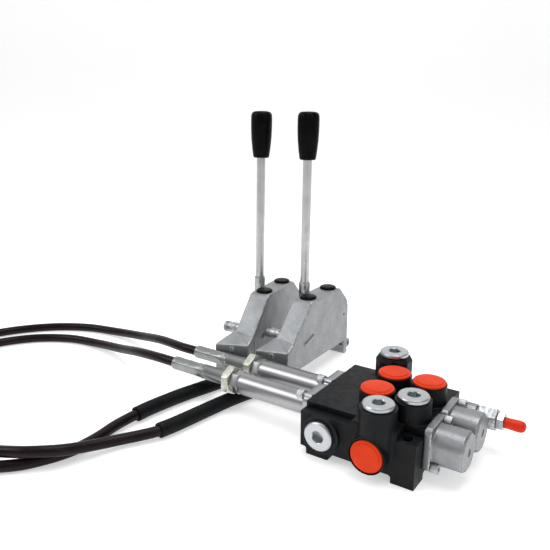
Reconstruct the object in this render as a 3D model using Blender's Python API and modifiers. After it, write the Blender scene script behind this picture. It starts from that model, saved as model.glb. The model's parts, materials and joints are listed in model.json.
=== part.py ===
"""A two-spool monoblock directional valve with its remote lever controls: a cast body with plugged
ports, spring caps and a relief valve, and two lever boxes that push and pull the spools through cables.

Metres, +Z up. X runs along the spools, with the cable adapters at -X, and the floor is z = 0."""

import math

import bmesh
import bpy
from mathutils import Matrix, Vector

# Driving dimensions
SPOOL_PITCH = 0.036
SPOOL_Z = 0.0287
SPOOL_Y = {"front": -SPOOL_PITCH / 2, "rear": SPOOL_PITCH / 2}
PORT_SPACING = 0.0324
BODY_LEFT, BODY_RIGHT = -0.072, 0.033
BODY_FRONT, BODY_BACK = -0.051, 0.052
BODY_UNDERSIDE, BODY_TOP = 0.006, 0.045
PORT_SEAT_Z = 0.062
PORT_BORE_R = 0.0093
CLEARANCE = 0.0003
SEGMENTS = 24

# The port seats: (x, y) for those that face up, (x, z) for those that face front or rear
WORK_PORTS = {
    "port_cap_a1": (-PORT_SPACING / 2, SPOOL_Y["front"]),
    "port_cap_a2": (-PORT_SPACING / 2, SPOOL_Y["rear"]),
    "port_cap_b2": (PORT_SPACING / 2, SPOOL_Y["rear"]),
}
CLOSED_WORK_PORT = (PORT_SPACING / 2, SPOOL_Y["front"])
TANK_TOP = (-0.002, -0.0465)
TANK_SIDE = (-0.004, 0.0235)
TANK_SIDE_SEAT_Y = -0.060
CARRY_OVER = (-0.051, 0.024)
CARRY_OVER_SEAT_Y = -0.0545
INLET_TOP = (-0.0298, 0.048)
INLET_SEAT_Z = 0.0668
INLET_SIDE_Z = 0.0235
INLET_SIDE_SEAT_Y = 0.0668

WORK_BOSS_R = 0.0155
TANK_BOSS_R = 0.0158
INLET_BOSS_R = 0.0174
SIDE_BOSS_R = 0.0185
CARRY_BOSS_R = 0.0178

# Plugs and caps
PLUG_FLANGE_R, PLUG_FLANGE_H = 0.0133, 0.0041
PLUG_SHANK_R, PLUG_SHANK_L = 0.0090, 0.012
PLUG_HEX_FLATS, PLUG_HEX_DEPTH = 0.010, 0.006
CAP_FLANGE_R, CAP_FLANGE_H = 0.0143, 0.0034
CAP_SHANK_R, CAP_SHANK_L = 0.0089, 0.010

# Spools and what is bolted to the two ends of the body
SPOOL_R, SPOOL_GROOVE_R, SPOOL_BORE_R = 0.007, 0.0048, 0.0073
FLANGE_W, FLANGE_H = 0.0354, 0.039
SCREW_DY, SCREW_DZ = 0.0127, 0.0148
SCREW_R, SCREW_HEAD_R, SCREW_HEAD_L = 0.0025, 0.0042, 0.005
SCREW_IN_BODY = 0.010
END_CAP_FLANGE_T, END_CAP_END = 0.006, 0.0652
END_CAP_SIDE, END_CAP_ROUND = 0.033, 0.0105
END_CAP_BORE_R = 0.0125
ADAPTER_FLANGE_T = 0.008
ADAPTER_R, ADAPTER_BORE_R = 0.011, 0.0085
ADAPTER_FLATS, ADAPTER_HEX_L = 0.0205, 0.009
ADAPTER_END = -0.1685
NUT_FLATS, NUT_T = 0.0262, 0.008
HUB_R, HUB_END = 0.0075, -0.209
FERRULE_FLATS, FERRULE_END = 0.0135, -0.249

# Relief valve, parallel to the spools at the inlet side
RELIEF_Y, RELIEF_Z = 0.0455, 0.0295
RELIEF_BOSS_R, RELIEF_BOSS_END = 0.0095, 0.0535
RELIEF_HEX_FLATS, RELIEF_HEX_END = 0.018, 0.0695
RELIEF_BORE_R, RELIEF_CAVITY_R, RELIEF_CAVITY_END = 0.0052, 0.0082, 0.004
RELIEF_NUT_FLATS, RELIEF_NUT_END = 0.014, 0.0757
RELIEF_CAP_R, RELIEF_CAP_END = 0.0052, 0.0937

# Lever boxes: a local frame with the pivot over the origin, Y along the box and the cable at -Y
BOX_AT = {"front": (-0.154, 0.118), "rear": (-0.2102, 0.1105)}
BOX_TURN = {"front": 0.0, "rear": math.radians(6.5)}
BOX_HALF_W, BOX_WALL = 0.012, 0.0035
BOX_TOP, BOX_UNDERSIDE = 0.0875, 0.017
BOX_PLUG_Y = 0.022
PIVOT_Z = 0.046
CRANK_DROP = 0.023
CABLE_EXIT_X, CABLE_EXIT_Z = -0.0055, 0.010
TOE_FRONT, TOE_LEFT = -0.080, -0.030
LEVER_X = -0.019
LEVER_LEAN = {"front": math.radians(1.2), "rear": math.radians(2.0)}
PIVOT_R, CORE_ROD_R = 0.005, 0.0022
ROD_R, SOCKET_R = 0.0049, 0.0062
SOCKET_TOP, ROD_TOP = 0.0965, 0.245
KNOB_BOTTOM, KNOB_TOP, KNOB_R = 0.2345, 0.2855, 0.0122
TIE_PIN_Y, TIE_PIN_Z, TIE_PIN_R, TIE_PIN_END = -0.052, 0.050, 0.006, -0.034

# Cables
CONDUIT_R, SLEEVE_R = 0.0051, 0.0072

COLOURS = {
    "black_paint": ((0.012, 0.013, 0.015), 0.38, 0.0),
    "zinc": ((0.62, 0.64, 0.66), 0.3, 1.0),
    "yellow_zinc": ((0.74, 0.74, 0.62), 0.35, 1.0),
    "steel": ((0.36, 0.37, 0.37), 0.35, 1.0),
    "cast_aluminium": ((0.36, 0.37, 0.38), 0.5, 0.85),
    "machined_aluminium": ((0.56, 0.56, 0.58), 0.32, 1.0),
    "satin_chrome": ((0.55, 0.56, 0.56), 0.28, 1.0),
    "orange_plastic": ((0.82, 0.075, 0.018), 0.4, 0.0),
    "red_plastic": ((0.80, 0.035, 0.012), 0.3, 0.0),
    "black_plastic": ((0.008, 0.008, 0.009), 0.3, 0.0),
    "black_rubber": ((0.010, 0.011, 0.012), 0.55, 0.0),
    "conduit_jacket": ((0.020, 0.010, 0.012), 0.4, 0.0),
}

ALONG_X = Matrix.Rotation(math.pi / 2, 4, "Y")
ALONG_MINUS_X = Matrix.Rotation(-math.pi / 2, 4, "Y")
ALONG_MINUS_Y = Matrix.Rotation(math.pi / 2, 4, "X")
ALONG_Y = Matrix.Rotation(-math.pi / 2, 4, "X")
UPRIGHT = Matrix.Identity(4)


# Scene and materials

def clear_scene():
    for obj in list(bpy.data.objects):
        bpy.data.objects.remove(obj, do_unlink=True)


def new_collection(name, hidden=False, parent=None):
    collection = bpy.data.collections.new(name)
    (parent or bpy.context.scene.collection).children.link(collection)
    collection.hide_render = hidden
    return collection


def make_materials():
    for name, (colour, roughness, metallic) in COLOURS.items():
        material = bpy.data.materials.new(name)
        material.use_nodes = True
        shader = material.node_tree.nodes["Principled BSDF"]
        shader.inputs["Base Color"].default_value = (*colour, 1.0)
        shader.inputs["Roughness"].default_value = roughness
        shader.inputs["Metallic"].default_value = metallic
        material.diffuse_color = (*colour, 1.0)


def add_object(name, data, material=None, parent=None, cutter_in=None):
    """Links the data as a visible part or, with cutter_in, as a hidden Boolean operand."""
    obj = bpy.data.objects.new(name, data)
    if cutter_in:
        cutter_in.objects.link(obj)
        obj.hide_render = True
        obj.display_type = "WIRE"
    else:
        PARTS.objects.link(obj)
        obj.data.materials.append(bpy.data.materials[material])
    if parent:
        obj.parent = parent
    return obj


def add_empty(name, location, turn=0.0, parent=None):
    empty = bpy.data.objects.new(name, None)
    empty.empty_display_size = 0.01
    PARTS.objects.link(empty)
    empty.location = location
    empty.rotation_euler = (0, 0, turn)
    empty.parent = parent
    return empty


# Shapes, each returned as a mesh

def mesh_from(bm, name):
    bmesh.ops.recalc_face_normals(bm, faces=bm.faces)
    mesh = bpy.data.meshes.new(name)
    bm.to_mesh(mesh)
    bm.free()
    return mesh


def box_mesh(name, low, high):
    bm = bmesh.new()
    bmesh.ops.create_cube(bm, size=1)
    low, high = Vector(low), Vector(high)
    bmesh.ops.scale(bm, vec=high - low, verts=bm.verts)
    bmesh.ops.translate(bm, vec=(low + high) / 2, verts=bm.verts)
    return mesh_from(bm, name)


def rod_mesh(name, base, length, radius, direction=UPRIGHT, sides=SEGMENTS, top_radius=None, turn=0.0):
    """A cylinder, cone or prism that starts at base and runs along direction."""
    bm = bmesh.new()
    bmesh.ops.create_cone(
        bm,
        cap_ends=True,
        segments=sides,
        radius1=radius,
        radius2=radius if top_radius is None else top_radius,
        depth=length,
    )
    bmesh.ops.translate(bm, vec=(0, 0, length / 2), verts=bm.verts)
    place = Matrix.Translation(base) @ direction @ Matrix.Rotation(turn, 4, "Z")
    bmesh.ops.transform(bm, matrix=place, verts=bm.verts)
    return mesh_from(bm, name)


def hex_radius(flats):
    return flats / 2 / math.cos(math.pi / 6)


def outline_mesh(name, points, start, depth):
    """A flat outline of (first, second) points, extruded by depth from start along the third direction."""
    curve = bpy.data.curves.new(name, "CURVE")
    curve.dimensions = "2D"
    curve.fill_mode = "BOTH"
    curve.extrude = depth / 2
    spline = curve.splines.new("POLY")
    spline.points.add(len(points) - 1)
    for point, (first, second) in zip(spline.points, points):
        point.co = (first, second, start + depth / 2, 1)
    spline.use_cyclic_u = True
    holder = bpy.data.objects.new(name, curve)
    HELPERS.objects.link(holder)
    holder.hide_render = True
    bpy.context.view_layer.update()
    mesh = bpy.data.meshes.new_from_object(holder.evaluated_get(bpy.context.evaluated_depsgraph_get()))
    bpy.data.objects.remove(holder)
    for vertex in mesh.vertices:
        vertex.co.z = start if vertex.co.z < start + depth / 2 else start + depth
    bm = bmesh.new()
    bm.from_mesh(mesh)
    bmesh.ops.remove_doubles(bm, verts=bm.verts, dist=1e-6)
    return mesh_from(bm, name)


def profile_object(name, points, material=None, parent=None, steps=SEGMENTS, cutter_in=None):
    """A turned shape: (radius, height) points from top to bottom on its outer side, about local Z."""
    bm = bmesh.new()
    verts = [bm.verts.new((radius, 0, height)) for radius, height in points]
    for first, second in zip(verts, verts[1:]):
        bm.edges.new((first, second))
    mesh = bpy.data.meshes.new(name)
    bm.to_mesh(mesh)
    bm.free()
    obj = add_object(name, mesh, material, parent, cutter_in)
    screw = obj.modifiers.new("turn", "SCREW")
    screw.steps = steps
    screw.render_steps = steps
    screw.use_merge_vertices = True
    screw.merge_threshold = 0.00002
    screw.use_smooth_shade = False
    return obj


def point_along(obj, location, direction=UPRIGHT):
    obj.location = location
    obj.rotation_euler = direction.to_euler()
    return obj


def bevel(obj, width, segments=2, angle=30):
    modifier = obj.modifiers.new("soften", "BEVEL")
    modifier.width = width
    modifier.segments = segments
    modifier.limit_method = "ANGLE"
    modifier.angle_limit = math.radians(angle)
    return obj


def combine(obj, other, operation):
    """A Boolean with one object, or with all the objects of a collection."""
    modifier = obj.modifiers.new(operation.lower(), "BOOLEAN")
    modifier.operation = operation
    modifier.solver = "EXACT"
    if isinstance(other, bpy.types.Collection):
        modifier.operand_type = "COLLECTION"
        modifier.collection = other
    else:
        modifier.object = other
    return obj


def cutter_rod(collection, name, base, length, radius, direction=UPRIGHT, **options):
    return add_object(
        name, rod_mesh(name, base, length, radius, direction, **options), cutter_in=collection
    )


def cutter_box(collection, name, low, high):
    return add_object(name, box_mesh(name, low, high), cutter_in=collection)


def rounded_rectangle(width, height, radius, steps=5):
    """Corner arcs of a rectangle centred on the origin, counter-clockwise."""
    points = []
    for corner, (sx, sy) in enumerate(((1, 1), (-1, 1), (-1, -1), (1, -1))):
        for step in range(steps + 1):
            angle = math.pi / 2 * (corner + step / steps)
            points.append((
                sx * (width / 2 - radius) + radius * math.cos(angle),
                sy * (height / 2 - radius) + radius * math.sin(angle),
            ))
    return points


# The valve body

FEET = {
    "front_left": (-0.067, BODY_FRONT, -0.045, -0.033),
    "front_right": (0.0125, BODY_FRONT, BODY_RIGHT, -0.031),
    "rear_left": (-0.067, 0.036, -0.045, BODY_BACK),
    "rear_right": (0.0125, 0.036, BODY_RIGHT, BODY_BACK),
}
FRONT_STEP_Y, FRONT_STEP_Z = -0.041, 0.040
PAD_REAR_Y, PAD_Z = -0.033, 0.039
MOUNT_HOLE_R = 0.0043
MOUNT_HOLES = ((0.0225, -0.042, BODY_TOP + 0.004), (-0.060, 0.044, 0.028))  # x, y and the height each ends at


def screw_places(side, end):
    """The two screws of an end: diagonal on the spring caps, and the other diagonal on the adapters."""
    tilt = 1 if end == "cap" else -1
    for lift in (1, -1):
        yield SPOOL_Y[side] + tilt * lift * SCREW_DY, SPOOL_Z + lift * SCREW_DZ


def add_body_bosses(bosses):
    for name, (x, y) in WORK_PORTS.items():
        cutter_rod(bosses, f"boss_{name}", (x, y, 0.030), PORT_SEAT_Z - 0.030, WORK_BOSS_R)
    x, y = CLOSED_WORK_PORT
    cutter_rod(bosses, "boss_closed_port", (x, y, 0.030), PORT_SEAT_Z - 0.030, WORK_BOSS_R + 0.0002)
    cutter_rod(bosses, "boss_tank_top", (*TANK_TOP, 0.020), PORT_SEAT_Z - 0.020, TANK_BOSS_R)
    shoulder = 0.0035
    cutter_rod(bosses, "boss_inlet", (*INLET_TOP, 0.020), INLET_SEAT_Z - shoulder - 0.020, INLET_BOSS_R)
    cutter_rod(
        bosses, "boss_inlet_shoulder", (*INLET_TOP, INLET_SEAT_Z - shoulder - 0.0005), shoulder + 0.0005,
        INLET_BOSS_R + 0.0001, top_radius=PLUG_FLANGE_R + 0.0012,
    )
    x, z = TANK_SIDE
    cutter_rod(bosses, "boss_tank_side", (x, -0.030, z), -0.030 - TANK_SIDE_SEAT_Y, SIDE_BOSS_R, ALONG_MINUS_Y)
    x, z = CARRY_OVER
    cutter_rod(bosses, "boss_carry_over", (x, -0.030, z), -0.030 - CARRY_OVER_SEAT_Y, CARRY_BOSS_R,
               ALONG_MINUS_Y)
    cutter_rod(bosses, "boss_inlet_side", (INLET_TOP[0], 0.030, INLET_SIDE_Z), INLET_SIDE_SEAT_Y - 0.030,
               SIDE_BOSS_R, ALONG_Y)
    for name, (left, front, right, back) in FEET.items():
        cutter_box(bosses, f"foot_{name}", (left, front + 0.0004, 0.0), (right - 0.0004, back - 0.0004, 0.012))


def add_body_cuts(cuts):
    over = 0.002
    cutter_box(cuts, "front_step", (BODY_LEFT - over, BODY_FRONT - over, FRONT_STEP_Z),
               (-0.0235, FRONT_STEP_Y, BODY_TOP + over))
    cutter_box(cuts, "pad_step", (0.0165, BODY_FRONT - over, PAD_Z),
               (BODY_RIGHT + over, PAD_REAR_Y, BODY_TOP + over))


def add_body_bores(bores):
    over = 0.001
    for side, y in SPOOL_Y.items():
        cutter_rod(bores, f"spool_bore_{side}", (BODY_LEFT - over, y, SPOOL_Z),
                   BODY_RIGHT - BODY_LEFT + 2 * over, SPOOL_BORE_R, ALONG_X)
        for end, face, direction in (("cap", BODY_RIGHT, ALONG_MINUS_X), ("adapter", BODY_LEFT, ALONG_X)):
            for index, (screw_y, screw_z) in enumerate(screw_places(side, end)):
                start = face + over if end == "cap" else face - over
                cutter_rod(bores, f"tapped_{end}_{side}_{index}", (start, screw_y, screw_z),
                           SCREW_IN_BODY + 2 * over, SCREW_R + CLEARANCE, direction, sides=12)
    for name, (x, y) in {**WORK_PORTS, "closed": CLOSED_WORK_PORT}.items():
        cutter_rod(bores, f"bore_{name}", (x, y, 0.0315), PORT_SEAT_Z + over - 0.0315, PORT_BORE_R)
    cutter_rod(bores, "bore_tank_top", (*TANK_TOP, 0.0235), PORT_SEAT_Z + over - 0.0235, PORT_BORE_R)
    cutter_rod(bores, "bore_inlet_top", (*INLET_TOP, CHECK_SEAT_Z), INLET_SEAT_Z + over - CHECK_SEAT_Z, PORT_BORE_R)
    cutter_rod(bores, "bore_check_seat", (*INLET_TOP, INLET_SIDE_Z), CHECK_SEAT_Z - INLET_SIDE_Z + over,
               CHECK_SEAT_R)
    x, z = TANK_SIDE
    cutter_rod(bores, "bore_tank_side", (x, -0.042, z), -0.042 - TANK_SIDE_SEAT_Y + over, PORT_BORE_R,
               ALONG_MINUS_Y)
    x, z = CARRY_OVER
    cutter_rod(bores, "bore_carry_over", (x, -0.036, z), -0.036 - CARRY_OVER_SEAT_Y + over, PORT_BORE_R,
               ALONG_MINUS_Y)
    cutter_rod(bores, "bore_inlet_side", (INLET_TOP[0], 0.044, INLET_SIDE_Z),
               INLET_SIDE_SEAT_Y - 0.044 + over, PORT_BORE_R, ALONG_Y)
    cutter_rod(bores, "spot_face_tank_side", (TANK_SIDE[0], TANK_SIDE_SEAT_Y, TANK_SIDE[1]), 0.006,
               CAP_FLANGE_R + 0.001, ALONG_MINUS_Y)
    cutter_rod(bores, "relief_cavity", (RELIEF_CAVITY_END, RELIEF_Y, RELIEF_Z),
               BODY_RIGHT + over - RELIEF_CAVITY_END, RELIEF_CAVITY_R, ALONG_X)
    cutter_rod(bores, "relief_gallery", (INLET_TOP[0], RELIEF_Y, RELIEF_Z),
               RELIEF_CAVITY_END - INLET_TOP[0] + over, 0.0035, ALONG_X, sides=16)
    for index, (x, y, top) in enumerate(MOUNT_HOLES):
        cutter_rod(bores, f"mount_hole_{index}", (x, y, -over), top + over, MOUNT_HOLE_R, sides=16)


def make_body():
    bosses = new_collection("body_bosses", hidden=True, parent=CUTTERS)
    cuts = new_collection("body_cuts", hidden=True, parent=CUTTERS)
    bores = new_collection("body_bores", hidden=True, parent=CUTTERS)
    add_body_bosses(bosses)
    add_body_cuts(cuts)
    add_body_bores(bores)
    block = box_mesh("valve_body", (BODY_LEFT, BODY_FRONT, BODY_UNDERSIDE), (BODY_RIGHT, BODY_BACK, BODY_TOP))
    body = add_object("valve_body", block, "black_paint")
    bevel(body, 0.002, segments=1)
    combine(body, cuts, "DIFFERENCE")
    combine(body, bosses, "UNION")
    combine(body, bores, "DIFFERENCE")


# Plugs and caps in the ports

def make_plug(name, seat, direction):
    """A zinc-plated closing plug with a hexagon socket."""
    rim = 0.0008
    plug = profile_object(name, (
        (0, PLUG_FLANGE_H),
        (PLUG_FLANGE_R - rim, PLUG_FLANGE_H),
        (PLUG_FLANGE_R, PLUG_FLANGE_H - rim),
        (PLUG_FLANGE_R, CLEARANCE),
        (PLUG_SHANK_R, CLEARANCE),
        (PLUG_SHANK_R, -PLUG_SHANK_L),
        (0, -PLUG_SHANK_L),
    ), "zinc")
    socket = cutter_rod(CUTTERS, f"socket_{name}", (0, 0, PLUG_FLANGE_H - PLUG_HEX_DEPTH),
                        PLUG_HEX_DEPTH + 0.001, hex_radius(PLUG_HEX_FLATS), sides=6)
    socket.parent = plug
    combine(plug, socket, "DIFFERENCE")
    return point_along(plug, seat, direction)


def make_port_cap(name, seat, direction):
    """A moulded transport cap with a slightly domed head."""
    cap = profile_object(name, (
        (0, CAP_FLANGE_H),
        (CAP_FLANGE_R * 0.6, CAP_FLANGE_H - 0.0001),
        (CAP_FLANGE_R - 0.0009, CAP_FLANGE_H - 0.0004),
        (CAP_FLANGE_R, CAP_FLANGE_H - 0.0013),
        (CAP_FLANGE_R, CLEARANCE),
        (CAP_SHANK_R, CLEARANCE),
        (CAP_SHANK_R - 0.0006, -CAP_SHANK_L),
        (0, -CAP_SHANK_L),
    ), "orange_plastic")
    return point_along(cap, seat, direction)


def make_port_closures():
    for name, (x, y) in WORK_PORTS.items():
        make_port_cap(name, (x, y, PORT_SEAT_Z), UPRIGHT)
    make_port_cap("port_cap_tank_side", (TANK_SIDE[0], TANK_SIDE_SEAT_Y, TANK_SIDE[1]), ALONG_MINUS_Y)
    make_port_cap("port_cap_inlet_side", (INLET_TOP[0], INLET_SIDE_SEAT_Y, INLET_SIDE_Z), ALONG_Y)
    make_plug("plug_work_b1", (*CLOSED_WORK_PORT, PORT_SEAT_Z), UPRIGHT)
    make_plug("plug_tank_top", (*TANK_TOP, PORT_SEAT_Z), UPRIGHT)
    make_plug("plug_inlet_top", (*INLET_TOP, INLET_SEAT_Z), UPRIGHT)
    make_plug("plug_carry_over", (CARRY_OVER[0], CARRY_OVER_SEAT_Y, CARRY_OVER[1]), ALONG_MINUS_Y)


# Spools with the spring caps at +X and the cable adapters at -X

SPOOL_LEFT, SPOOL_TAIL, SPOOL_RIGHT = -0.098, 0.036, 0.053
SPRING_MEAN_R, SPRING_WIRE_R, SPRING_TURNS = 0.0092, 0.0009, 4


def make_spool(side):
    """The spool: three lands, waists under the ports, an eye at the cable end and a tail for the spring."""
    land = 0.0065
    port = PORT_SPACING / 2
    points = [(0, SPOOL_RIGHT), (0.0065, SPOOL_RIGHT), (0.0065, SPOOL_RIGHT - 0.0025)]
    points += [(0.0045, SPOOL_RIGHT - 0.0025), (0.0045, SPOOL_TAIL), (SPOOL_R, SPOOL_TAIL)]
    for x in (port, 0.0, -port):
        points += [(SPOOL_R, x + land / 2), (SPOOL_GROOVE_R, x + land / 4)]
        points += [(SPOOL_GROOVE_R, x - land / 4), (SPOOL_R, x - land / 2)]
    points += [(SPOOL_R, SPOOL_LEFT + 0.012), (0.0045, SPOOL_LEFT + 0.012)]
    points += [(0.0045, SPOOL_LEFT), (0, SPOOL_LEFT)]
    spool = profile_object(f"spool_{side}", points, "steel", steps=14)
    point_along(spool, (0, SPOOL_Y[side], SPOOL_Z), ALONG_X)


def helix_points(start, end, radius, turns, per_turn=8):
    """A compression spring's centre line along local Z, with flat turns at its ends."""
    count = int(turns * per_turn)
    points = []
    for step in range(count + 1):
        share = step / count
        rise = min(max((share * turns - 0.75) / (turns - 1.5), 0.0), 1.0)
        angle = 2 * math.pi * turns * share
        points.append((radius * math.cos(angle), radius * math.sin(angle), start + (end - start) * rise))
    return points


def tube_object(name, points, radius, material, parent=None, resolution=2):
    curve = bpy.data.curves.new(name, "CURVE")
    curve.dimensions = "3D"
    curve.bevel_depth = radius
    curve.bevel_resolution = resolution
    curve.use_fill_caps = True
    spline = curve.splines.new("POLY")
    spline.points.add(len(points) - 1)
    for point, place in zip(spline.points, points):
        point.co = (*place, 1)
    return add_object(name, curve, material, parent)


def spring_object(name, location, direction, start, end, radius, wire, turns):
    """Flat end turns must not touch the next turn, so they rise by a wire and a gap."""
    points = helix_points(start + wire, end - wire, radius, turns)
    lift = 2 * wire + 0.0004
    count = len(points) - 1
    fixed = []
    for step, (x, y, z) in enumerate(points):
        first = min(step / count * turns / 0.75, 1.0)
        last = min((count - step) / count * turns / 0.75, 1.0)
        share = (z - start) / (end - start)
        low = start + wire + lift * first * (1 - share)
        high = end - wire - lift * last * share
        fixed.append((x, y, low + (high - low) * share))
    return point_along(tube_object(name, fixed, wire, "steel"), location, direction)


def make_centring_spring(side):
    spring_object(f"centring_spring_{side}", (0, SPOOL_Y[side], SPOOL_Z), ALONG_X,
                  BODY_RIGHT + 0.0009, 0.0595, SPRING_MEAN_R, SPRING_WIRE_R, SPRING_TURNS)


def flange_mesh(name, thickness):
    return outline_mesh(name, rounded_rectangle(FLANGE_H, FLANGE_W, 0.005), 0, thickness)


def cut_screw_holes(obj, side, end, length):
    """Clearance holes through a flange, in the flange's own frame, whose Z points away from the body."""
    direction = 1 if end == "cap" else -1
    for index, (y, z) in enumerate(screw_places(side, end)):
        hole = cutter_rod(CUTTERS, f"hole_{obj.name}_{index}",
                          (-direction * (z - SPOOL_Z), y - SPOOL_Y[side], -0.001), length + 0.002,
                          SCREW_R + CLEARANCE, sides=12)
        hole.parent = obj
        combine(obj, hole, "DIFFERENCE")


def make_end_cap(side):
    """A die-cast spring cap: a screwed flange and a square barrel with round corners."""
    name = f"end_cap_{side}"
    base = BODY_RIGHT + CLEARANCE
    cap = add_object(name, flange_mesh(name, END_CAP_FLANGE_T), "cast_aluminium")
    barrel_length = END_CAP_END - base
    outline = rounded_rectangle(END_CAP_SIDE, END_CAP_SIDE, END_CAP_ROUND)
    barrel = add_object(f"barrel_{name}", outline_mesh(f"barrel_{name}", outline, 0.001, barrel_length - 0.001),
                        cutter_in=CUTTERS)
    bevel(barrel, 0.0015, segments=1, angle=50)
    barrel.parent = cap
    combine(cap, barrel, "UNION")
    for index, (y, z) in enumerate(screw_places(side, "cap")):
        pocket = cutter_rod(CUTTERS, f"pocket_{name}_{index}",
                            (-(z - SPOOL_Z), y - SPOOL_Y[side], END_CAP_FLANGE_T), barrel_length,
                            SCREW_HEAD_R + 0.001, sides=20)
        pocket.parent = cap
        combine(cap, pocket, "DIFFERENCE")
    cavity = cutter_rod(CUTTERS, f"cavity_{name}", (0, 0, -0.001), barrel_length - 0.004 + 0.001,
                        END_CAP_BORE_R)
    cavity.parent = cap
    combine(cap, cavity, "DIFFERENCE")
    cut_screw_holes(cap, side, "cap", END_CAP_FLANGE_T)
    point_along(cap, (base, SPOOL_Y[side], SPOOL_Z), ALONG_X)


def make_adapter(side):
    """The cable adapter: a screwed flange, a turned tube and a hexagon at its far end."""
    name = f"cable_adapter_{side}"
    base = BODY_LEFT - CLEARANCE
    length = base - ADAPTER_END
    adapter = add_object(name, flange_mesh(name, ADAPTER_FLANGE_T), "machined_aluminium")
    tube_length = length - ADAPTER_HEX_L
    for part, start, part_length, radius, sides in (
        ("tube", 0.001, tube_length - 0.001, ADAPTER_R, SEGMENTS),
        ("hex", tube_length - 0.001, ADAPTER_HEX_L + 0.001, hex_radius(ADAPTER_FLATS), 6),
    ):
        piece = cutter_rod(CUTTERS, f"{part}_{name}", (0, 0, start), part_length, radius, sides=sides)
        piece.parent = adapter
        combine(adapter, piece, "UNION")
    bore = cutter_rod(CUTTERS, f"bore_{name}", (0, 0, -0.001), length + 0.002, ADAPTER_BORE_R)
    bore.parent = adapter
    combine(adapter, bore, "DIFFERENCE")
    cut_screw_holes(adapter, side, "adapter", ADAPTER_FLANGE_T)
    point_along(adapter, (base, SPOOL_Y[side], SPOOL_Z), ALONG_MINUS_X)


def make_flange_screws(side):
    """Cap screws through both flanges into the body."""
    for end, face, thickness, direction in (
        ("cap", BODY_RIGHT, END_CAP_FLANGE_T, ALONG_X),
        ("adapter", BODY_LEFT, ADAPTER_FLANGE_T, ALONG_MINUS_X),
    ):
        outward = 1 if end == "cap" else -1
        seat = face + outward * (thickness + 2 * CLEARANCE)
        for index, (y, z) in enumerate(screw_places(side, end)):
            name = f"{end}_screw_{side}_{('upper', 'lower')[index]}"
            screw = profile_object(name, (
                (0, SCREW_HEAD_L - 0.002),
                (0.0019, SCREW_HEAD_L - 0.002),
                (0.0019, SCREW_HEAD_L),
                (SCREW_HEAD_R - 0.0005, SCREW_HEAD_L),
                (SCREW_HEAD_R, SCREW_HEAD_L - 0.0005),
                (SCREW_HEAD_R, 0),
                (SCREW_R, 0),
                (SCREW_R, -thickness - SCREW_IN_BODY),
                (0, -thickness - SCREW_IN_BODY),
            ), "zinc", steps=12)
            point_along(screw, (seat, y, z), direction)


def make_cable_end(side):
    """The lock nut on the adapter, and the threaded hub with the crimped hexagon ferrule behind it."""
    y = SPOOL_Y[side]
    nut_start = ADAPTER_END - CLEARANCE
    nut = add_object(f"lock_nut_{side}", rod_mesh("nut", (0, 0, 0), NUT_T, hex_radius(NUT_FLATS), sides=6),
                     "yellow_zinc")
    bore = cutter_rod(CUTTERS, f"nut_bore_{side}", (0, 0, -0.001), NUT_T + 0.002, HUB_R + CLEARANCE)
    bore.parent = nut
    combine(nut, bore, "DIFFERENCE")
    point_along(nut, (nut_start, y, SPOOL_Z), ALONG_MINUS_X)
    hub_start = ADAPTER_END + 0.024
    hub_length = hub_start - HUB_END
    ferrule_length = HUB_END - FERRULE_END
    fitting = profile_object(f"cable_fitting_{side}", (
        (0, hub_length),
        (HUB_R - 0.0006, hub_length),
        (HUB_R, hub_length - 0.0006),
        (HUB_R, 0),
        (0, 0),
    ), "steel")
    ferrule = cutter_rod(CUTTERS, f"ferrule_{side}", (0, 0, -ferrule_length), ferrule_length + 0.002,
                         hex_radius(FERRULE_FLATS), sides=6, turn=math.pi / 6)
    ferrule.parent = fitting
    combine(fitting, ferrule, "UNION")
    point_along(fitting, (HUB_END, y, SPOOL_Z), ALONG_X)


# Relief valve and inlet check valve

CHECK_SEAT_Z, CHECK_SEAT_R = 0.0345, 0.0064


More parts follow.
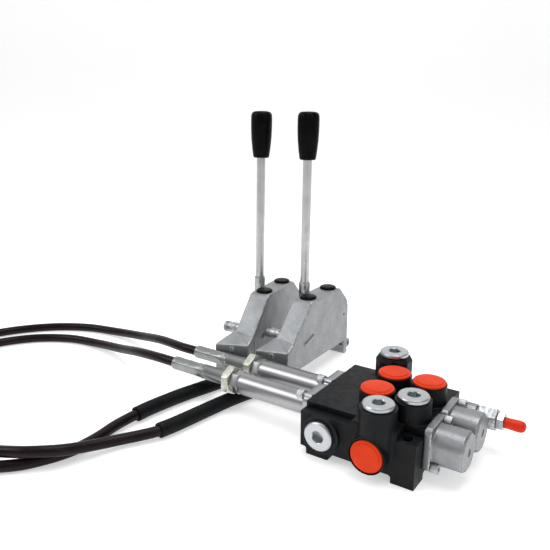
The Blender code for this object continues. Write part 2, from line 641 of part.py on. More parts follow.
def make_relief_valve():
    centre = (0, RELIEF_Y, RELIEF_Z)
    boss = BODY_RIGHT + CLEARANCE
    body = profile_object("relief_body", (
        (0, RELIEF_HEX_END - 0.0005),
        (0.0080, RELIEF_HEX_END - 0.0005),
        (0.0080, RELIEF_BOSS_END - 0.0005),
        (0.0074, RELIEF_BOSS_END - 0.0005),
        (0.0074, RELIEF_BOSS_END - 0.0015),
        (RELIEF_BOSS_R, RELIEF_BOSS_END - 0.0015),
        (RELIEF_BOSS_R, boss),
        (RELIEF_CAVITY_R - CLEARANCE, boss),
        (RELIEF_CAVITY_R - CLEARANCE, 0.012),
        (0, 0.012),
    ), "cast_aluminium")
    hexagon = cutter_rod(CUTTERS, "relief_hex", (0, 0, RELIEF_BOSS_END), RELIEF_HEX_END - RELIEF_BOSS_END,
                         hex_radius(RELIEF_HEX_FLATS), sides=6, turn=math.pi / 6)
    core = cutter_rod(CUTTERS, "relief_core", (0, 0, 0.0180), RELIEF_HEX_END, RELIEF_BORE_R)
    seat_hole = cutter_rod(CUTTERS, "relief_seat_hole", (0, 0, 0.0110), 0.0080, 0.0030)
    for helper, operation in ((hexagon, "UNION"), (core, "DIFFERENCE"), (seat_hole, "DIFFERENCE")):
        helper.parent = body
        combine(body, helper, operation)
    point_along(body, centre, ALONG_X)
    nut = add_object("relief_lock_nut", rod_mesh("relief_nut", (0, 0, RELIEF_HEX_END + CLEARANCE),
                                                RELIEF_NUT_END - RELIEF_HEX_END - CLEARANCE,
                                                hex_radius(RELIEF_NUT_FLATS), sides=6, turn=math.pi / 6),
                     "zinc")
    bore = cutter_rod(CUTTERS, "relief_nut_bore", (0, 0, RELIEF_HEX_END - 0.001), 0.010, 0.0043, sides=24)
    bore.parent = nut
    combine(nut, bore, "DIFFERENCE")
    point_along(nut, centre, ALONG_X)
    screw = profile_object("relief_adjust_screw", (
        (0, 0.0860),
        (0.0016, 0.0860),
        (0.0016, 0.0880),
        (0.0034, 0.0880),
        (0.0038, 0.0872),
        (0.0038, 0.0560),
        (0, 0.0560),
    ), "steel", steps=20)
    point_along(screw, centre, ALONG_X)
    seat = profile_object("relief_spring_seat", (
        (0, 0.0560 - CLEARANCE),
        (0.0047, 0.0560 - CLEARANCE),
        (0.0047, 0.0530),
        (0.0022, 0.0530),
        (0.0022, 0.0500),
        (0, 0.0500),
    ), "steel", steps=20)
    point_along(seat, centre, ALONG_X)
    spring_object("relief_spring", centre, ALONG_X, 0.0273, 0.0527, 0.0037, 0.0006, 6)
    poppet = profile_object("relief_poppet", (
        (0, 0.0300),
        (0.0022, 0.0300),
        (0.0022, 0.0270),
        (0.0047, 0.0270),
        (0.0047, 0.0230),
        (0.0034, 0.0190),
        (0.0027, 0.0182),
        (0.0025, 0.0140),
        (0, 0.0140),
    ), "steel", steps=20)
    point_along(poppet, centre, ALONG_X)
    cap = profile_object("relief_cap", (
        (0, RELIEF_CAP_END),
        (RELIEF_CAP_R * 0.55, RELIEF_CAP_END - 0.0007),
        (RELIEF_CAP_R * 0.9, RELIEF_CAP_END - 0.0024),
        (RELIEF_CAP_R, RELIEF_CAP_END - 0.0045),
        (RELIEF_CAP_R * 0.94, RELIEF_NUT_END + CLEARANCE),
        (0.0041, RELIEF_NUT_END + CLEARANCE),
        (0.0041, RELIEF_CAP_END - 0.0045),
        (0, RELIEF_CAP_END - 0.0025),
    ), "red_plastic", steps=24)
    point_along(cap, centre, ALONG_X)


def make_check_valve():
    """The inlet check: a poppet on its seat under the top inlet plug, with its spring."""
    x, y = INLET_TOP
    guide_r, guide_top = 0.0026, 0.0085
    disc_r, disc_top, cone_top, cone_end = 0.0078, 0.0045, 0.0024, -0.0010
    poppet = profile_object("check_poppet", (
        (0, guide_top),
        (guide_r, guide_top),
        (guide_r, disc_top),
        (disc_r, disc_top),
        (disc_r, cone_top),
        (0.0050, cone_end),
        (0, cone_end),
    ), "steel", steps=20)
    point_along(poppet, (x, y, CHECK_SEAT_Z), UPRIGHT)
    spring_object("check_spring", (x, y, 0), UPRIGHT, CHECK_SEAT_Z + disc_top + CLEARANCE,
                  INLET_SEAT_Z - PLUG_SHANK_L - CLEARANCE, 0.0037, 0.0006, 4)


# Lever boxes

HUB_LEFT = -0.0245


def arc(centre, radius, start, end, steps):
    """Points on a circle from one angle to another, in degrees."""
    points = []
    for step in range(steps + 1):
        angle = math.radians(start + (end - start) * step / steps)
        points.append((centre[0] + radius * math.cos(angle), centre[1] + radius * math.sin(angle)))
    return points


def box_outline(inset=0.0):
    """The side outline of a lever box as (y, z): toe, sloping front, flat top, chamfered back."""
    top = BOX_TOP - inset
    back = 0.052 - inset
    points = [(TOE_FRONT + 0.012 + inset, BOX_UNDERSIDE if not inset else -0.004)]
    points += [(TOE_FRONT + 0.012 + inset, 0.0470 - inset)]
    points += [(-0.069 + inset * 0.8, 0.0505 - inset)]
    points += arc((-0.0300 + inset * 0.4, top - 0.006), 0.006, 135, 90, 3)
    points += arc((0.0270 - inset, top - 0.008), 0.008, 90, 45, 3)
    points += [(0.0490 - inset, 0.0690 - inset * 0.6), (back, 0.0610)]
    points += [(back, BOX_UNDERSIDE if not inset else -0.004)]
    return points


def side_mesh(name, outline, start, width):
    """A (y, z) outline extruded along +X from start."""
    mesh = outline_mesh(name, outline, start, width)
    mesh.transform(Matrix(((0, 0, 1, 0), (1, 0, 0, 0), (0, 1, 0, 0), (0, 0, 0, 1))))
    return mesh


def make_housing(side, frame):
    name = f"lever_box_{side}"
    parts = new_collection(f"adds_{name}", hidden=True, parent=CUTTERS)
    cuts = new_collection(f"cuts_{name}", hidden=True, parent=CUTTERS)
    housing = add_object(name, side_mesh(name, box_outline(), -BOX_HALF_W, 2 * BOX_HALF_W),
                         "cast_aluminium", frame)
    bevel(housing, 0.0016, segments=1, angle=40)
    toe = [(-0.064, BOX_HALF_W - 0.0005), (-0.064, -BOX_HALF_W + 0.0005), (TOE_FRONT + 0.004, TOE_LEFT)]
    toe += [(TOE_FRONT, TOE_LEFT), (TOE_FRONT, BOX_HALF_W - 0.0005)]
    toe_mesh = outline_mesh(f"toe_{name}", [(x, y) for y, x in toe], 0.0, 0.044)
    add_object(f"toe_{name}", toe_mesh, cutter_in=parts).parent = frame
    foot_back = 0.052
    pieces = [
        add_object(f"heel_{name}", box_mesh("heel", (-BOX_HALF_W + 0.0005, foot_back - 0.0065, 0),
                                            (BOX_HALF_W - 0.0005, foot_back - 0.0004, 0.03)), cutter_in=parts),
        cutter_rod(parts, f"lug_{name}", (-BOX_HALF_W + 0.001, 0.0560, 0.0105), 0.0225, 0.0058, ALONG_X,
                   sides=24),
        cutter_rod(parts, f"shaft_boss_{name}", (-BOX_HALF_W - 0.0006, 0, PIVOT_Z), 0.0045, 0.0095, ALONG_X),
        cutter_rod(parts, f"pin_boss_{name}", (-BOX_HALF_W - 0.0006, TIE_PIN_Y, TIE_PIN_Z), 0.003,
                   0.0078, ALONG_X, sides=24),
        cutter_rod(cuts, f"shaft_bore_{name}", (-0.02, 0, PIVOT_Z), 0.032 - BOX_WALL, PIVOT_R + CLEARANCE,
                   ALONG_X),
        cutter_rod(cuts, f"pin_bore_{name}", (-0.02, TIE_PIN_Y, TIE_PIN_Z), 0.016,
                   TIE_PIN_R + CLEARANCE, ALONG_X, sides=24),
        cutter_rod(cuts, f"cable_bore_{name}", (CABLE_EXIT_X, -0.052, CABLE_EXIT_Z), 0.030,
                   CONDUIT_R + CLEARANCE, ALONG_MINUS_Y, sides=24),
        cutter_rod(cuts, f"lug_hole_{name}", (-0.02, 0.0560, 0.0105), 0.04, 0.0026, ALONG_X, sides=16),
    ]
    for y in (-BOX_PLUG_Y, BOX_PLUG_Y):
        tag = "near" if y < 0 else "far"
        pieces.append(cutter_rod(cuts, f"plug_bore_{tag}_{name}", (0, y, BOX_TOP - 0.010), 0.02, 0.0072,
                                 sides=24))
    hollow_width = BOX_HALF_W - BOX_WALL
    pieces.append(add_object(f"hollow_{name}", side_mesh("hollow", box_outline(BOX_WALL), -hollow_width,
                                                         2 * hollow_width), cutter_in=cuts))
    for piece in pieces:
        piece.parent = frame
    combine(housing, parts, "UNION")
    combine(housing, cuts, "DIFFERENCE")


def make_box_plugs(side, frame):
    """Two push-in covers over the mounting screws of a box."""
    for tag, y in (("near", -BOX_PLUG_Y), ("far", BOX_PLUG_Y)):
        plug = profile_object(f"box_plug_{side}_{tag}", (
            (0, 0.0030),
            (0.0080, 0.0028),
            (0.0093, 0.0016),
            (0.0093, CLEARANCE),
            (0.0067, CLEARANCE),
            (0.0067, -0.0032),
            (0, -0.0032),
        ), "black_plastic", frame, steps=20)
        point_along(plug, (0, y, BOX_TOP), UPRIGHT)


def make_tie_pin(side, frame):
    pin = profile_object(f"tie_pin_{side}", (
        (0, 0),
        (TIE_PIN_R - 0.001, 0),
        (TIE_PIN_R, -0.001),
        (TIE_PIN_R, TIE_PIN_END + BOX_HALF_W - BOX_WALL - 0.0005),
        (0, TIE_PIN_END + BOX_HALF_W - BOX_WALL - 0.0005),
    ), "cast_aluminium", frame, steps=24)
    point_along(pin, (TIE_PIN_END, TIE_PIN_Y, TIE_PIN_Z), ALONG_MINUS_X)


def make_lever(side, pivot):
    """The lever outside the box: a hub on the pivot shaft, an arm, a socket and a steel rod."""
    name = f"lever_{side}"
    hub_right = -BOX_HALF_W - 0.0006 - CLEARANCE
    lever = add_object(name, rod_mesh(name, (HUB_LEFT, 0, 0), hub_right - HUB_LEFT, 0.0098, ALONG_X),
                       "satin_chrome", pivot)
    arm_half = 0.0040
    rise = PIVOT_Z
    pieces = [
        add_object(f"arm_{name}", box_mesh("arm", (LEVER_X - arm_half, -0.0055, 0.004),
                                           (LEVER_X + arm_half, 0.0055, 0.089 - rise)), cutter_in=CUTTERS),
        cutter_rod(CUTTERS, f"socket_{name}", (LEVER_X, 0, 0.085 - rise), SOCKET_TOP - 0.085, SOCKET_R,
                   sides=24),
        cutter_rod(CUTTERS, f"rod_{name}", (LEVER_X, 0, 0.088 - rise), ROD_TOP - 0.088, ROD_R, sides=24),
    ]
    for piece in pieces:
        piece.parent = pivot
        combine(lever, piece, "UNION")
    bore = cutter_rod(CUTTERS, f"bore_{name}", (HUB_LEFT + 0.003, 0, 0), 0.03, PIVOT_R + CLEARANCE, ALONG_X,
                      sides=24)
    bore.parent = pivot
    combine(lever, bore, "DIFFERENCE")


def make_knob(side, pivot):
    base = KNOB_BOTTOM - PIVOT_Z
    height = KNOB_TOP - KNOB_BOTTOM
    bore = ROD_TOP - KNOB_BOTTOM + CLEARANCE
    knob = profile_object(f"knob_{side}", (
        (0, height),
        (KNOB_R * 0.55, height - 0.0006),
        (KNOB_R * 0.86, height - 0.0022),
        (KNOB_R, height - 0.0055),
        (KNOB_R * 0.99, height * 0.6),
        (KNOB_R * 0.80, 0.0015),
        (KNOB_R * 0.74, 0),
        (ROD_R + CLEARANCE, 0),
        (ROD_R + CLEARANCE, bore),
        (0, bore),
    ), "black_plastic", pivot, steps=20)
    point_along(knob, (LEVER_X, 0, base), UPRIGHT)


def make_crank(side, pivot):
    """The pivot shaft through the box with the crank arm inside that moves the cable's core."""
    name = f"crank_shaft_{side}"
    shaft_right = BOX_HALF_W - BOX_WALL + CLEARANCE
    crank = add_object(name, rod_mesh(name, (HUB_LEFT + 0.0033, 0, 0),
                                      shaft_right - CLEARANCE * 2 - HUB_LEFT - 0.0033, PIVOT_R, ALONG_X,
                                      sides=20), "steel", pivot)
    left = CABLE_EXIT_X + CORE_ROD_R + 0.0004
    pieces = [
        cutter_rod(CUTTERS, f"crank_hub_{name}", (left, 0, 0), 0.005, 0.0085, ALONG_X, sides=20),
        add_object(f"crank_arm_{name}", box_mesh("crank_arm", (left, -0.004, -CRANK_DROP - 0.003),
                                                 (left + 0.002, 0.004, 0)), cutter_in=CUTTERS),
    ]
    for piece in pieces:
        piece.parent = pivot
        combine(crank, piece, "UNION")


def make_core_rod(side, frame):
    """The sliding end of the cable's core: it climbs from the toe's bore to the end of the crank arm."""
    end_y, end_z = 0.006, PIVOT_Z - CRANK_DROP + 0.0005
    start_y, start_z = -0.070, CABLE_EXIT_Z + 0.0005
    length = math.hypot(end_y - start_y, end_z - start_z)
    climb = math.atan2(end_z - start_z, end_y - start_y)
    rod = profile_object(f"core_rod_{side}", (
        (0, length),
        (CORE_ROD_R - 0.0006, length),
        (CORE_ROD_R, length - 0.002),
        (CORE_ROD_R, 0),
        (0, 0),
    ), "steel", frame, steps=12)
    point_along(rod, (CABLE_EXIT_X, end_y, end_z), Matrix.Rotation(climb, 4, "X") @ ALONG_MINUS_Y)


def make_lever_box(side):
    x, y = BOX_AT[side]
    frame = add_empty(f"box_frame_{side}", (x, y, 0), BOX_TURN[side])
    pivot = add_empty(f"box_pivot_{side}", (0, 0, PIVOT_Z), parent=frame)
    lever_frame = add_empty(f"lever_frame_{side}", (0, 0, 0), parent=pivot)
    lever_frame.rotation_euler.x = -LEVER_LEAN[side]
    make_housing(side, frame)
    make_box_plugs(side, frame)
    make_tie_pin(side, frame)
    make_lever(side, lever_frame)
    make_knob(side, lever_frame)
    make_crank(side, pivot)
    make_core_rod(side, frame)


# Cables: the jacket's route from the ferrule round to the rubber sleeve, and the sleeve up to the box

JACKET_ROUTE = {
    "front": (
        (FERRULE_END - CLEARANCE, -0.018, SPOOL_Z), (-0.272, -0.018, SPOOL_Z), (-0.310, -0.0120, 0.0240),
        (-0.355, 0.0005, 0.0135), (-0.402, 0.0075, 0.0067), (-0.448, 0.0005, 0.0053),
        (-0.486, -0.0240, 0.0053), (-0.511, -0.0620, 0.0053), (-0.521, -0.1080, 0.0053),
        (-0.515, -0.1570, 0.0053), (-0.492, -0.2010, 0.0053),
        (-0.4530, -0.2320, 0.0053), (-0.4050, -0.2450, 0.0053), (-0.3700, -0.2390, 0.0053),
        (-0.3383, -0.2308, 0.0060), (-0.3052, -0.2222, 0.0095), (-0.2722, -0.2145, 0.0145),
        (-0.2504, -0.2055, 0.0165), (-0.2379, -0.1953, 0.0160), (-0.2286, -0.1827, 0.0140),
        (-0.2223, -0.1673, 0.0110), (-0.2162, -0.1510, 0.0085), (-0.2085, -0.1339, 0.0070),
        (-0.1990, -0.1190, 0.0070), (-0.1920, -0.1069, 0.0075),
    ),
    "rear": (
        (FERRULE_END - CLEARANCE, 0.018, SPOOL_Z), (-0.272, 0.018, SPOOL_Z), (-0.315, 0.0290, 0.0240),
        (-0.365, 0.0430, 0.0135), (-0.415, 0.0480, 0.0067), (-0.462, 0.0390, 0.0053),
        (-0.503, 0.0130, 0.0053), (-0.535, -0.0270, 0.0053), (-0.552, -0.0750, 0.0053),
        (-0.554, -0.1280, 0.0053), (-0.540, -0.1800, 0.0053), (-0.511, -0.2250, 0.0053),
        (-0.4700, -0.2590, 0.0053), (-0.4200, -0.2770, 0.0053), (-0.3670, -0.2760, 0.0053),
        (-0.3250, -0.2610, 0.0053), (-0.2921, -0.2392, 0.0053), (-0.2680, -0.2230, 0.0053),
        (-0.2506, -0.2068, 0.0053), (-0.2403, -0.1899, 0.0053), (-0.2339, -0.1744, 0.0053),
        (-0.2308, -0.1588, 0.0053), (-0.2310, -0.1391, 0.0053),
        (-0.2316, -0.1180, 0.0067), (-0.2300, -0.0953, 0.0075),
    ),
}
SLEEVE_ROUTE = {
    "front": (
        (-0.19045, -0.1046, 0.0075), (-0.1855, -0.0840, 0.0076), (-0.1800, -0.0500, 0.0074),
        (-0.1745, -0.0200, 0.0074), (-0.1690, 0.0000, 0.0075), (-0.1635, 0.0150, 0.0076),
        (-0.1597, 0.0270, 0.0090), (-0.1595, 0.0366, 0.0100),
    ),
    "rear": (
        (-0.22995, -0.0946, 0.0075), (-0.2283, -0.0780, 0.0076), (-0.2235, -0.0500, 0.0074),
        (-0.2175, -0.0260, 0.0074), (-0.2110, -0.0050, 0.0075), (-0.2070, 0.0090, 0.0080),
        (-0.2056, 0.0195, 0.0092), (-0.2065, 0.0290, 0.0100),
    ),
}


def smooth_route(points, spacing):
    """Evenly spaced points on the Catmull-Rom curve through the given points."""
    ways = [Vector(point) for point in points]
    ways = [2 * ways[0] - ways[1]] + ways + [2 * ways[-1] - ways[-2]]
    fine = []
    steps = 24
    for before, start, end, after in zip(ways, ways[1:], ways[2:], ways[3:]):
        for step in range(steps):
            t = step / steps
            fine.append(0.5 * (2 * start + (end - before) * t
                               + (2 * before - 5 * start + 4 * end - after) * t ** 2
                               + (3 * start - before - 3 * end + after) * t ** 3))
    fine.append(ways[-2])
    length = sum((b - a).length for a, b in zip(fine, fine[1:]))
    count = max(2, round(length / spacing))
    gap = length / count
    evenly, walked = [fine[0]], 0.0
    for a, b in zip(fine, fine[1:]):
        step = (b - a).length
        while walked + step >= gap * len(evenly) and len(evenly) < count:
            evenly.append(a.lerp(b, (gap * len(evenly) - walked) / step))
        walked += step
    return evenly + [fine[-1]]


def make_cables():
    for side in ("front", "rear"):
        jacket = smooth_route(JACKET_ROUTE[side], 0.018)
        tube_object(f"cable_jacket_{side}", jacket, CONDUIT_R, "conduit_jacket", resolution=3)
        sleeve = smooth_route(SLEEVE_ROUTE[side], 0.014)
        tube_object(f"cable_sleeve_{side}", sleeve, SLEEVE_R, "black_rubber", resolution=3)


def shade():
    """Round faces smooth, edges over 35 degrees sharp."""
    for obj in PARTS.objects:
        if obj.type == "MESH":
            obj.data.shade_smooth()
            obj.data.set_sharp_from_angle(angle=math.radians(35))


clear_scene()
PARTS = new_collection("monoblock_valve")
CUTTERS = new_collection("cutters", hidden=True)
HELPERS = new_collection("helpers", hidden=True)
make_materials()
make_body()
make_port_closures()
make_relief_valve()
make_check_valve()
for spool_side in ("front", "rear"):
    make_spool(spool_side)
    make_centring_spring(spool_side)
    make_end_cap(spool_side)
    make_adapter(spool_side)
    make_flange_screws(spool_side)
    make_cable_end(spool_side)
    make_lever_box(spool_side)
make_cables()
shade()
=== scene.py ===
"""The looks of the two-spool monoblock valve and its remote levers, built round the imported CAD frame.

Metres, +Z up. X runs along the spools, with the cable adapters at -X, and the floor is z = 0. Castings are
voxel-remeshed so that their bosses run into each other with soft fillets, and their machined faces are cut
afterwards. Turned pieces are lathed from profiles."""

import json
import math

import bmesh
import bpy
from mathutils import Matrix, Vector


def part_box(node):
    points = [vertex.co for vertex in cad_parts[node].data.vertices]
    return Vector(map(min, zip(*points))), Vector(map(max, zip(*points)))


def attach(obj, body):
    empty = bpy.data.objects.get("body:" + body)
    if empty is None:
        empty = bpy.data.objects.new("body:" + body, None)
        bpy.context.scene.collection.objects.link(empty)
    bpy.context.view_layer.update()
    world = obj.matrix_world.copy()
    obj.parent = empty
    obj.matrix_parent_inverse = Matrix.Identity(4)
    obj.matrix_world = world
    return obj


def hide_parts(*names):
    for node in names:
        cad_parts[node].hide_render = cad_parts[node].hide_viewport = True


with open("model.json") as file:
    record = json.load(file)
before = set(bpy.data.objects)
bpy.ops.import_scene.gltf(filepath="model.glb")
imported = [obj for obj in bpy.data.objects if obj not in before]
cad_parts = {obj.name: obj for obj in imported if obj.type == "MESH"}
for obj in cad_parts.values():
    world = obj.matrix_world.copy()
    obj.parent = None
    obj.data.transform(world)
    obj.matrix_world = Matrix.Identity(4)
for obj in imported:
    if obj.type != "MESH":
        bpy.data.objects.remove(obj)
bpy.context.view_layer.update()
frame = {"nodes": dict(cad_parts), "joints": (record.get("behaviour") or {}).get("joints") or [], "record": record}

UP, ALONG_X, ALONG_Y = Vector((0, 0, 1)), Vector((1, 0, 0)), Vector((0, 1, 0))
SIDES = ("front", "rear")
TAGS = ("upper", "lower")
STEPS, FINE_STEPS = 72, 96

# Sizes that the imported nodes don't give
GAP = 0.0003
PORT_BORE_R = 0.0093
SCREW_HEAD_R = 0.0047
SCREW_SHANK = {"cap": 0.0065, "adapter": 0.0085}
BOX_HALF_W, BOX_WALL = 0.012, 0.0035
HUB_R, FERRULE_LENGTH = 0.0075, 0.040
SCREW_HOLE_R, PIVOT_BORE_R = 0.0028, 0.0053
CONDUIT_R, SLEEVE_R, SLEEVE_BORE_R = 0.0051, 0.0072, 0.0056


# Reading the frame

def middle(node):
    low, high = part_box(node)
    return (low + high) / 2


def span(node):
    low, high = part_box(node)
    return high - low


def joint(name):
    return next(found for found in frame["joints"] if found["name"] == name)


def body_of(node):
    bodies = frame["record"]["behaviour"]["bodies"]
    return next(body for body, nodes in bodies.items() if node in nodes)


def slot_of(node):
    return next(part["material_slot"] for part in frame["record"]["subparts"] if part["node"] == node)


def facing(outward):
    return outward.to_track_quat("Z", "Y").to_matrix().to_4x4()


def outer_place(node, outward):
    """A frame at the middle of the node's outer face, with local Z pointing outward."""
    half = span(node) / 2
    reach = sum(abs(outward[axis]) * half[axis] for axis in range(3))
    return Matrix.Translation(middle(node) + outward * reach) @ facing(outward)


def box_place(side):
    """The frame of a lever box: its pivot stands over the origin, Y runs along the box."""
    swing = joint(f"lever_{side}_swing")
    turn = math.atan2(swing["axis"][1], swing["axis"][0])
    x, y, _ = swing["pos_m"]
    return Matrix.Translation((x, y, 0)) @ Matrix.Rotation(turn, 4, "Z")


# Mesh making

def linked(name, data):
    obj = bpy.data.objects.new(name, data)
    bpy.context.scene.collection.objects.link(obj)
    return obj


def mesh_of(name, bm):
    mesh = bpy.data.meshes.new(name)
    bm.to_mesh(mesh)
    bm.free()
    return mesh


def new_object(name, bm, place=None):
    bmesh.ops.recalc_face_normals(bm, faces=bm.faces)
    obj = linked(name, mesh_of(name, bm))
    if place:
        obj.data.transform(place)
    return obj


def bridge(bm, rings, closed=False):
    """Faces between each ring of points and the next. A ring may be a single point."""
    for first, second in zip(rings, rings[1:] + (rings[:1] if closed else [])):
        for step in range(max(len(first), len(second))):
            after = step + 1
            corners = [first[step % len(first)], first[after % len(first)],
                       second[after % len(second)], second[step % len(second)]]
            distinct = list(dict.fromkeys(corners))
            if len(distinct) > 2:
                bm.faces.new(distinct)


def softened(points, steps=4):
    """A profile whose corners (radius, height, fillet) are rounded by their fillets."""
    plain = [Vector(point[:2]) for point in points]
    fillets = [point[2] if len(point) > 2 else 0 for point in points]
    made = []
    for index, (corner, fillet) in enumerate(zip(plain, fillets)):
        if not fillet or index in (0, len(plain) - 1):
            made.append(corner)
            continue
        before, after = plain[index - 1], plain[index + 1]
        start = corner + (before - corner).normalized() * fillet
        end = corner + (after - corner).normalized() * fillet
        for step in range(steps + 1):
            t = step / steps
            made.append(start * (1 - t) ** 2 + corner * 2 * t * (1 - t) + end * t ** 2)
    return made


def lathe(name, points, steps=FINE_STEPS):
    """A turned piece about local Z, from (radius, height, fillet) points."""
    bm = bmesh.new()
    rings = []
    for radius, height in softened(points):
        if radius < 1e-7:
            rings.append([bm.verts.new((0, 0, height))])
            continue
        angles = [2 * math.pi * step / steps for step in range(steps)]
        rings.append([bm.verts.new((radius * math.cos(a), radius * math.sin(a), height)) for a in angles])
    bridge(bm, rings)
    return new_object(name, bm)


def rod(name, start, outward, length, radius, sides=STEPS, far_radius=None, turn=0.0):
    """A closed cylinder, cone or prism from start along outward."""
    bm = bmesh.new()
    bmesh.ops.create_cone(bm, cap_ends=True, segments=sides, radius1=radius,
                          radius2=radius if far_radius is None else far_radius, depth=length)
    bmesh.ops.translate(bm, vec=(0, 0, length / 2), verts=bm.verts)
    return new_object(name, bm, Matrix.Translation(start) @ (facing(outward) @ Matrix.Rotation(turn, 4, "Z")))


def block(name, low, high):
    bm = bmesh.new()
    bmesh.ops.create_cube(bm, size=1)
    low, high = Vector(low), Vector(high)
    bmesh.ops.scale(bm, vec=high - low, verts=bm.verts)
    bmesh.ops.translate(bm, vec=(low + high) / 2, verts=bm.verts)
    return new_object(name, bm)


def extrusion(name, outline, start, depth, across=None):
    """An outline of (first, second) points extruded along local Z; across maps local axes to new ones."""
    bm = bmesh.new()
    bottom = [bm.verts.new((first, second, start)) for first, second in outline]
    top = [bm.verts.new((first, second, start + depth)) for first, second in outline]
    bm.faces.new(bottom)
    bm.faces.new(top)
    count = len(outline)
    for index in range(count):
        following = (index + 1) % count
        bm.faces.new((bottom[index], bottom[following], top[following], top[index]))
    return new_object(name, bm, across)


def finalise(obj):
    """Replaces the object's mesh by what its modifiers make of it."""
    bpy.context.view_layer.update()
    graph = bpy.context.evaluated_depsgraph_get()
    mesh = bpy.data.meshes.new_from_object(obj.evaluated_get(graph))
    obj.modifiers.clear()
    obj.data = mesh
    return obj


def merged(name, objects):
    """One mesh that holds all the objects' closed shells."""
    bm = bmesh.new()
    for obj in objects:
        bm.from_mesh(obj.data)
        bpy.data.objects.remove(obj)
    return linked(name, mesh_of(name, bm))


def cast(name, solids, voxel, rounds):
    """The solids grown together as a casting, with every edge and inner corner softened."""
    form = merged(name, solids)
    remesh = form.modifiers.new("skin", "REMESH")
    remesh.mode = "VOXEL"
    remesh.voxel_size = voxel
    smooth = form.modifiers.new("soften", "SMOOTH")
    smooth.factor = 0.5
    smooth.iterations = rounds
    return finalise(form)


def cut(obj, cutters, operation="DIFFERENCE"):
    """One Boolean with several closed shapes at once, which are used up."""
    group = bpy.data.collections.new(f"tools_{obj.name}")
    bpy.context.scene.collection.children.link(group)
    for cutter in cutters:
        bpy.context.scene.collection.objects.unlink(cutter)
        group.objects.link(cutter)
    modifier = obj.modifiers.new("cut", "BOOLEAN")
    modifier.operation = operation
    modifier.operand_type = "COLLECTION"
    modifier.collection = group
    modifier.solver = "EXACT"
    finalise(obj)
    for cutter in cutters:
        bpy.data.objects.remove(cutter)
    bpy.data.collections.remove(group)
    return obj


def bevelled(obj, width, segments=3, angle=30):
    modifier = obj.modifiers.new("edges", "BEVEL")
    modifier.width = width
    modifier.segments = segments
    modifier.limit_method = "ANGLE"
    modifier.angle_limit = math.radians(angle)
    return finalise(obj)


def shade(obj, angle=32):
    obj.data.shade_smooth()
    obj.data.set_sharp_from_angle(angle=math.radians(angle))
    return obj


def copy_at(obj, name, place):
    twin = linked(name, obj.data.copy())
    twin.data.transform(place)
    return twin


def hex_radius(flats):
    return flats / 2 / math.cos(math.pi / 6)


def arc(centre, radius, start, end, steps):
    angles = [math.radians(start + (end - start) * step / steps) for step in range(steps + 1)]
    return [(centre[0] + radius * math.cos(a), centre[1] + radius * math.sin(a)) for a in angles]


def rounded_rectangle(width, height, radius, steps=8):
    points = []
    for corner, (sx, sy) in enumerate(((1, 1), (-1, 1), (-1, -1), (1, -1))):
        centre = (sx * (width / 2 - radius), sy * (height / 2 - radius))
        points += arc(centre, radius, 90 * corner, 90 * corner + 90, steps)
    return points


def stand_for(piece, nodes, angle=32):
    """The piece takes the place, body and material of one or more CAD nodes."""
    nodes = [nodes] if isinstance(nodes, str) else nodes
    shade(piece, angle)
    piece.data.materials.clear()
    piece.data.materials.append(MATERIALS[slot_of(nodes[0])])
    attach(piece, body_of(nodes[0]))
    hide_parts(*nodes)
    return piece


# Materials

def material(name, colour, roughness, metallic=0.0):
    made = bpy.data.materials.new(name)
    made.use_nodes = True
    shader = made.node_tree.nodes["Principled BSDF"]
    shader.inputs["Base Color"].default_value = (*colour, 1)
    shader.inputs["Roughness"].default_value = roughness
    shader.inputs["Metallic"].default_value = metallic
    return made


def node(made, kind, **inputs):
    added = made.node_tree.nodes.new(kind)
    for name, value in inputs.items():
        added.inputs[name.replace("_", " ")].default_value = value
    return added


def link(made, source, target):
    made.node_tree.links.new(source, target)


def place_coordinates(made, stretch=(1, 1, 1)):
    """Object coordinates, which are the shared frame's metres on every piece here, stretched per axis."""
    coordinates = node(made, "ShaderNodeTexCoord")
    mapping = node(made, "ShaderNodeMapping")
    mapping.inputs["Scale"].default_value = stretch
    link(made, coordinates.outputs["Object"], mapping.inputs["Vector"])
    return mapping.outputs["Vector"]


def noise(made, scale, detail=4.0, stretch=(1, 1, 1), roughness=0.55):
    texture = node(made, "ShaderNodeTexNoise", Scale=scale, Detail=detail, Roughness=roughness)
    link(made, place_coordinates(made, stretch), texture.inputs["Vector"])
    return texture.outputs["Fac"]


def ramp(made, source, low, high, at=(0.3, 0.7)):
    """Maps a value to a colour or a grey between two stops."""
    blend = node(made, "ShaderNodeValToRGB")
    for element, position, value in zip(blend.color_ramp.elements, at, (low, high)):
        element.position = position
        element.color = (*value, 1) if hasattr(value, "__len__") else (value, value, value, 1)
    link(made, source, blend.inputs["Fac"])
    return blend.outputs["Color"]


def mix(made, first, second, factor):
    """Mixes two colours, each a socket or a tuple, by a factor that is a socket or a number."""
    blend = made.node_tree.nodes.new("ShaderNodeMix")
    blend.data_type = "RGBA"
    for index, value in ((6, first), (7, second)):
        if hasattr(value, "is_linked"):
            link(made, value, blend.inputs[index])
        else:
            blend.inputs[index].default_value = (*value, 1)
    if hasattr(factor, "is_linked"):
        link(made, factor, blend.inputs[0])
    else:
        blend.inputs[0].default_value = factor
    return blend.outputs[2]


def add_bumps(made, *layers):
    """Bump layers as (height socket, strength, depth in metres), the coarsest first."""
    shader = made.node_tree.nodes["Principled BSDF"]
    normal = None
    for height, strength, depth in layers:
        bump = node(made, "ShaderNodeBump", Strength=strength, Distance=depth)
        link(made, height, bump.inputs["Height"])
        if normal:
            link(made, normal, bump.inputs["Normal"])
        normal = bump.outputs["Normal"]
    link(made, normal, shader.inputs["Normal"])


